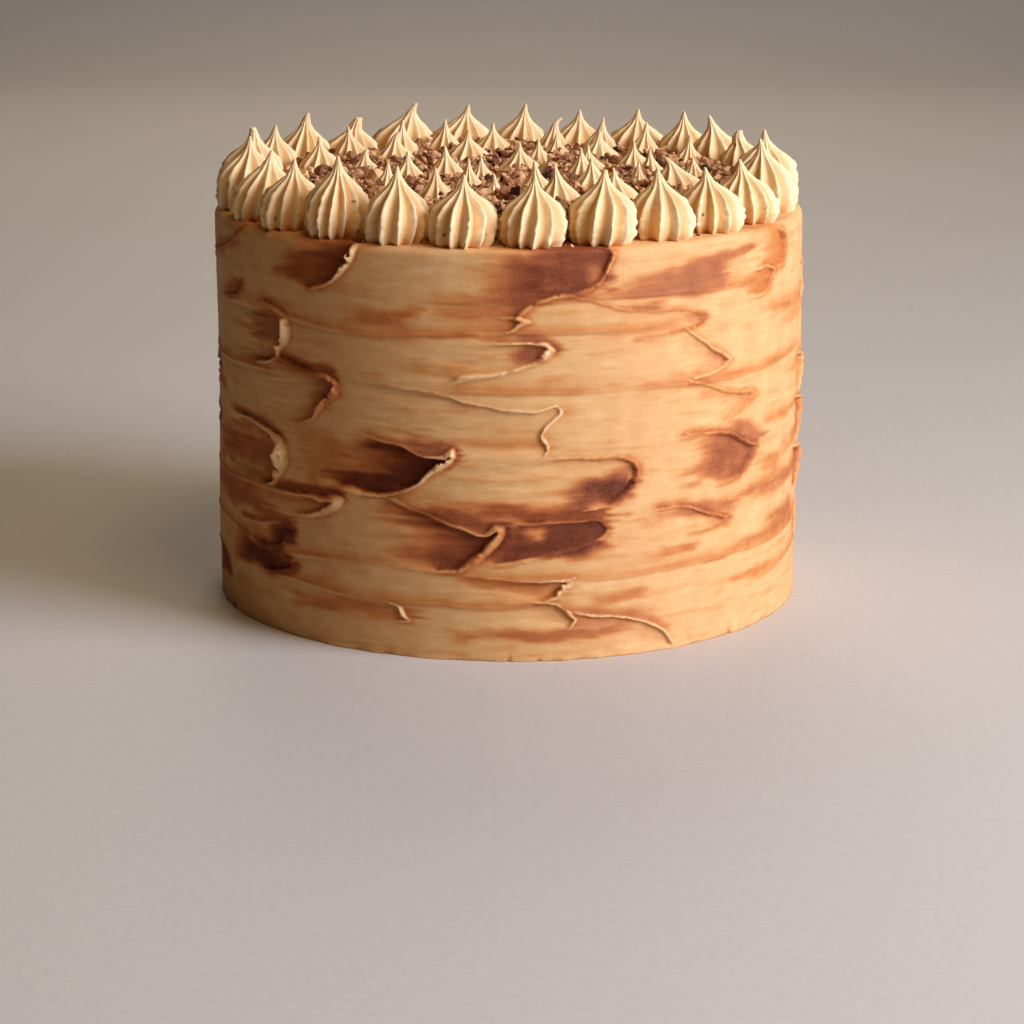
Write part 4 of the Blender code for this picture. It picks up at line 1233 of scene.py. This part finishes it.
class Nodes:
    """Short ways to add and link the shader nodes of one material."""

    def __init__(self, name):
        self.material = bpy.data.materials.new(name)
        self.material.use_nodes = True
        self.tree = self.material.node_tree
        self.shader = self.tree.nodes["Principled BSDF"]

    def put(self, socket, value):
        if isinstance(value, bpy.types.NodeSocket):
            self.tree.links.new(value, socket)
        else:
            socket.default_value = value

    def finish(self, **values):
        for name, value in values.items():
            self.put(self.shader.inputs[name.replace("_", " ").title()], value)

    def attribute(self, name):
        node = self.tree.nodes.new("ShaderNodeAttribute")
        node.attribute_name = name
        return node.outputs["Fac"]

    def coordinates(self, scale):
        """Object coordinates in mm, stretched by a factor along each axis."""
        place = self.tree.nodes.new("ShaderNodeTexCoord")
        mapping = self.tree.nodes.new("ShaderNodeMapping")
        mapping.inputs["Scale"].default_value = [part / MM for part in scale]
        self.tree.links.new(place.outputs["Object"], mapping.inputs["Vector"])
        return mapping.outputs["Vector"]

    def noise(self, vector, scale, detail=3.0, roughness=0.55):
        node = self.tree.nodes.new("ShaderNodeTexNoise")
        self.put(node.inputs["Vector"], vector)
        self.put(node.inputs["Scale"], scale)
        self.put(node.inputs["Detail"], detail)
        self.put(node.inputs["Roughness"], roughness)
        return node.outputs["Fac"]

    def cells(self, vector, scale):
        node = self.tree.nodes.new("ShaderNodeTexVoronoi")
        self.put(node.inputs["Vector"], vector)
        self.put(node.inputs["Scale"], scale)
        return node.outputs["Distance"]

    def maths(self, operation, first, second=0.0):
        node = self.tree.nodes.new("ShaderNodeMath")
        node.operation = operation
        self.put(node.inputs[0], first)
        self.put(node.inputs[1], second)
        return node.outputs["Value"]

    def between(self, value, low, high, to_low=0.0, to_high=1.0):
        node = self.tree.nodes.new("ShaderNodeMapRange")
        for name, amount in (("Value", value), ("From Min", low), ("From Max", high),
                             ("To Min", to_low), ("To Max", to_high)):
            self.put(node.inputs[name], amount)
        return node.outputs["Result"]

    def ramp(self, value, stops):
        node = self.tree.nodes.new("ShaderNodeValToRGB")
        self.put(node.inputs["Fac"], value)
        elements = node.color_ramp.elements
        while len(elements) < len(stops):
            elements.new(0.5)
        for element, (place, colour) in zip(elements, stops):
            element.position = place
            element.color = screen_colour(*colour)
        return node.outputs["Color"]

    def mix(self, amount, first, second):
        node = self.tree.nodes.new("ShaderNodeMix")
        node.data_type = "RGBA"
        self.put(node.inputs[0], amount)
        self.put(node.inputs[6], first)
        self.put(node.inputs[7], second)
        return node.outputs[2]

    def bump(self, height, strength, distance, before=None):
        node = self.tree.nodes.new("ShaderNodeBump")
        node.inputs["Strength"].default_value = strength
        node.inputs["Distance"].default_value = distance * MM
        self.put(node.inputs["Height"], height)
        if before is not None:
            self.put(node.inputs["Normal"], before)
        return node.outputs["Normal"]


def screen_colour(red, green, blue):
    """A colour given as 0 to 255 on a screen, as Blender's linear values."""
    def linear(value):
        share = value / 255.0
        return share / 12.92 if share <= 0.04045 else ((share + 0.055) / 1.055) ** 2.4
    return (linear(red), linear(green), linear(blue), 1.0)


# The icing's colours by how much brown lies on it: red-brown smears and greyer ones
RED_BROWNS = (
    (0.0, (240, 195, 138)), (0.08, (223, 170, 109)), (0.22, (210, 138, 74)), (0.38, (192, 111, 56)),
    (0.60, (159, 83, 37)), (0.80, (126, 59, 25)), (1.0, (94, 40, 15)),
)
GREY_BROWNS = (
    (0.0, (240, 195, 138)), (0.08, (223, 170, 109)), (0.22, (208, 149, 95)), (0.38, (186, 116, 73)),
    (0.60, (158, 91, 56)), (0.80, (133, 69, 42)), (1.0, (90, 44, 26)),
)


# The crumbs' colours, from the lightest to the darkest
BISCUIT_STOPS = (
    (0.0, (240, 190, 132)), (0.35, (220, 164, 108)), (0.7, (190, 130, 82)), (1.0, (148, 94, 58)),
)
CHOCOLATE_STOPS = ((0.0, (172, 112, 74)), (0.4, (138, 84, 52)), (0.8, (90, 50, 29)), (1.0, (44, 21, 11)))

# Colours of the dusty top, of the holes in the thick brown, of the cream, of the painted shade in its
# grooves and of the floor
DUST_STOPS = ((0.3, (116, 76, 54)), (0.7, (196, 150, 112)))
HOLE_COLOUR = (58, 28, 18)
CREAM_STOPS = ((0.3, (248, 213, 154)), (0.7, (252, 222, 167)))
CREAM_GROOVE_SHADE = (224, 169, 100)
CREAM_SPECK = (165, 100, 60)
FLOOR_STOPS = ((0.3, (196, 187, 174)), (0.7, (202, 193, 180)))


def icing_material():
    nodes = Nodes("smeared_icing")
    dragged = nodes.coordinates((0.16, 0.16, 1.0))
    plain = nodes.coordinates((1.0, 1.0, 1.0))
    streaks = nodes.noise(dragged, 0.55, 4.0, 0.6)
    fine_streaks = nodes.noise(dragged, 1.9, 3.0, 0.6)
    blotches = nodes.noise(plain, 0.16, 3.0, 0.5)
    speckle = nodes.noise(plain, 1.5, 2.0, 0.7)
    brown = nodes.attribute("brown")
    swing = nodes.maths("ADD", nodes.between(streaks, 0.25, 0.75, -0.25, 0.25),
                        nodes.between(fine_streaks, 0.25, 0.75, -0.1, 0.1))
    swing = nodes.maths("ADD", swing, nodes.between(blotches, 0.25, 0.75, -0.3, 0.3))
    room = nodes.between(brown, 0.0, 0.35, 0.05, 0.26)
    amount = nodes.maths("ADD", brown, nodes.maths("MULTIPLY", swing, room))
    pores = nodes.between(speckle, 0.52, 0.72, 0.0, 0.16)
    pores = nodes.maths("MULTIPLY", pores, nodes.between(brown, 0.25, 0.6))
    amount = nodes.maths("ADD", amount, pores)
    red_brown = nodes.ramp(amount, RED_BROWNS)
    grey_brown = nodes.ramp(amount, GREY_BROWNS)
    colour = nodes.mix(nodes.attribute("tone"), red_brown, grey_brown)
    dusty = nodes.ramp(speckle, DUST_STOPS)
    holes = nodes.between(nodes.cells(plain, 0.62), 0.10, 0.24, 1.0, 0.0)
    holes = nodes.maths("MULTIPLY", holes, nodes.between(nodes.attribute("tone"), 0.3, 0.8))
    holes = nodes.maths("MULTIPLY", holes, nodes.between(amount, 0.5, 0.85, 0.0, 0.75))
    colour = nodes.mix(holes, colour, screen_colour(*HOLE_COLOUR))
    colour = nodes.mix(nodes.attribute("dust"), colour, dusty)
    grain = nodes.bump(speckle, 0.28, 0.25)
    dragged_marks = nodes.bump(nodes.noise(dragged, 1.1, 4.0, 0.65), 0.25, 0.4, grain)
    shine = nodes.between(blotches, 0.3, 0.7, 0.6, 0.7)
    nodes.finish(base_color=colour, roughness=shine, normal=dragged_marks)
    nodes.shader.inputs["Specular IOR Level"].default_value = 0.15
    return nodes.material


def cream_material():
    nodes = Nodes("piped_buttercream")
    plain = nodes.coordinates((1.0, 1.0, 1.0))
    cloudy = nodes.noise(plain, 0.12, 2.0, 0.5)
    grain = nodes.noise(plain, 1.9, 3.0, 0.65)
    specks = nodes.noise(plain, 0.75, 1.0, 0.5)
    cream = nodes.ramp(cloudy, CREAM_STOPS)
    # painted shade: the cream turns darker and more golden deep in the grooves
    depth = nodes.between(nodes.attribute("groove"), 0.25, 1.0)
    colour = nodes.mix(depth, cream, screen_colour(*CREAM_GROOVE_SHADE))
    speck = nodes.between(specks, 0.74, 0.78, 0.0, 0.55)
    colour = nodes.mix(speck, colour, screen_colour(*CREAM_SPECK))
    rough = nodes.bump(grain, 0.30, 0.28)
    nodes.finish(base_color=colour, roughness=nodes.between(cloudy, 0.3, 0.7, 0.5, 0.6), normal=rough)
    nodes.shader.inputs["Specular IOR Level"].default_value = 0.3
    return nodes.material


def crumb_material(name, stops, roughness):
    nodes = Nodes(name)
    plain = nodes.coordinates((1.0, 1.0, 1.0))
    mottle = nodes.noise(plain, 0.9, 3.0, 0.6)
    shade = nodes.maths("ADD", nodes.attribute("shade"), nodes.between(mottle, 0.25, 0.75, -0.3, 0.3))
    rough = nodes.bump(nodes.noise(plain, 1.7, 4.0, 0.7), 0.8, 0.5)
    nodes.finish(base_color=nodes.ramp(shade, stops), roughness=roughness, normal=rough)
    nodes.shader.inputs["Specular IOR Level"].default_value = 0.2
    return nodes.material


def floor_material():
    nodes = Nodes("pale_floor")
    plain = nodes.coordinates((1.0, 1.0, 1.0))
    grain = nodes.noise(plain, 0.4, 3.0, 0.5)
    nodes.finish(base_color=nodes.ramp(grain, FLOOR_STOPS), roughness=0.6)
    return nodes.material


# The floor, in metres: how far it runs to the front and back, its bend up, and the wall's height
FLOOR_FRONT = -2.5
FLOOR_BACK = 1.6
FLOOR_HALF_WIDTH = 3.5
FLOOR_BEND = 0.6
FLOOR_BEND_STEPS = 12
WALL_TOP = 3.2


def add_floor():
    """A pale floor that curves up into a wall behind the cake."""
    sweep = bmesh.new()
    outline = [(FLOOR_FRONT, 0.0), (FLOOR_BACK, 0.0)]
    for step in range(1, FLOOR_BEND_STEPS + 1):
        turn = math.radians(90.0 * step / FLOOR_BEND_STEPS)
        outline.append((FLOOR_BACK + FLOOR_BEND * math.sin(turn), FLOOR_BEND * (1.0 - math.cos(turn))))
    outline.append((FLOOR_BACK + FLOOR_BEND, WALL_TOP))
    sides = (-FLOOR_HALF_WIDTH, FLOOR_HALF_WIDTH)
    rows = [[sweep.verts.new((side, y, z)) for side in sides] for y, z in outline]
    for lower, upper in zip(rows, rows[1:]):
        sweep.faces.new((lower[0], lower[1], upper[1], upper[0]))
    mesh = bpy.data.meshes.new("floor_sweep")
    sweep.to_mesh(mesh)
    sweep.free()
    mesh.shade_smooth()
    mesh.materials.append(floor_material())
    floor = bpy.data.objects.new("floor_sweep", mesh)
    bpy.context.scene.collection.objects.link(floor)


# The lamps, round and aimed at the cake: name, place in metres, power, size and colour
LAMPS = (
    ("key", (1.217, -0.674, 0.74), 31.0, 1.0, (0.95, 1.05, 1.36)),
    ("fill", (0.6, -1.75, 0.9), 1.2, 1.6, (1.0, 0.40, 0.13)),
    ("above", (0.4, -0.7, 1.65), 7.5, 0.7, (1.0, 0.74, 0.42)),
    ("back", (-0.05, 1.48, 0.95), 6.5, 1.2, (1.0, 0.86, 0.68)),
)
LAMP_TARGET = (0.0, 0.0, 0.09)
ROOM_COLOUR = (1.0, 0.56, 0.30, 1.0)
ROOM_STRENGTH = 0.006


def add_light(name, place, power, size, colour):
    lamp = bpy.data.lights.new(name, "AREA")
    lamp.shape = "DISK"
    lamp.energy = power
    lamp.size = size
    lamp.color = colour
    light = bpy.data.objects.new(name, lamp)
    light.location = place
    light.rotation_euler = (Vector(LAMP_TARGET) - Vector(place)).to_track_quat("-Z", "Y").to_euler()
    bpy.context.scene.collection.objects.link(light)


def add_lights():
    for lamp in LAMPS:
        add_light(*lamp)
    world = bpy.data.worlds.new("studio")
    world.use_nodes = True
    background = world.node_tree.nodes["Background"]
    background.inputs["Color"].default_value = ROOM_COLOUR
    background.inputs["Strength"].default_value = ROOM_STRENGTH
    bpy.context.scene.world = world
    bpy.context.scene.view_settings.view_transform = "Standard"


# The camera: its place in metres, how many degrees it looks down, and its lens and sensor in mm
CAMERA_PLACE = (0.00126, -1.1483, 0.31795)
CAMERA_PITCH = 14.281
CAMERA_LENS = 112.25
CAMERA_SENSOR = 36.0


def add_camera():
    camera = bpy.data.objects.new("camera", bpy.data.cameras.new("camera"))
    camera.data.lens = CAMERA_LENS
    camera.data.sensor_width = CAMERA_SENSOR
    camera.location = CAMERA_PLACE
    camera.rotation_euler = (math.radians(90.0 - CAMERA_PITCH), 0.0, 0.0)
    bpy.context.scene.collection.objects.link(camera)
    bpy.context.scene.camera = camera


def build():
    add_camera()
    add_lights()
    add_floor()
    icing = add_piece("smeared_cake", icing_mesh(), icing_material(), ["cake"])
    thin_out(icing, SIDE_TRIANGLES)
    kisses = add_kisses(cream_material())
    tan = crumb_material("biscuit_crumb", BISCUIT_STOPS, 0.75)
    chocolate = crumb_material("chopped_chocolate", CHOCOLATE_STOPS, 0.45)
    add_bed(tan)
    add_crumbs(kisses, tan, chocolate)


build()
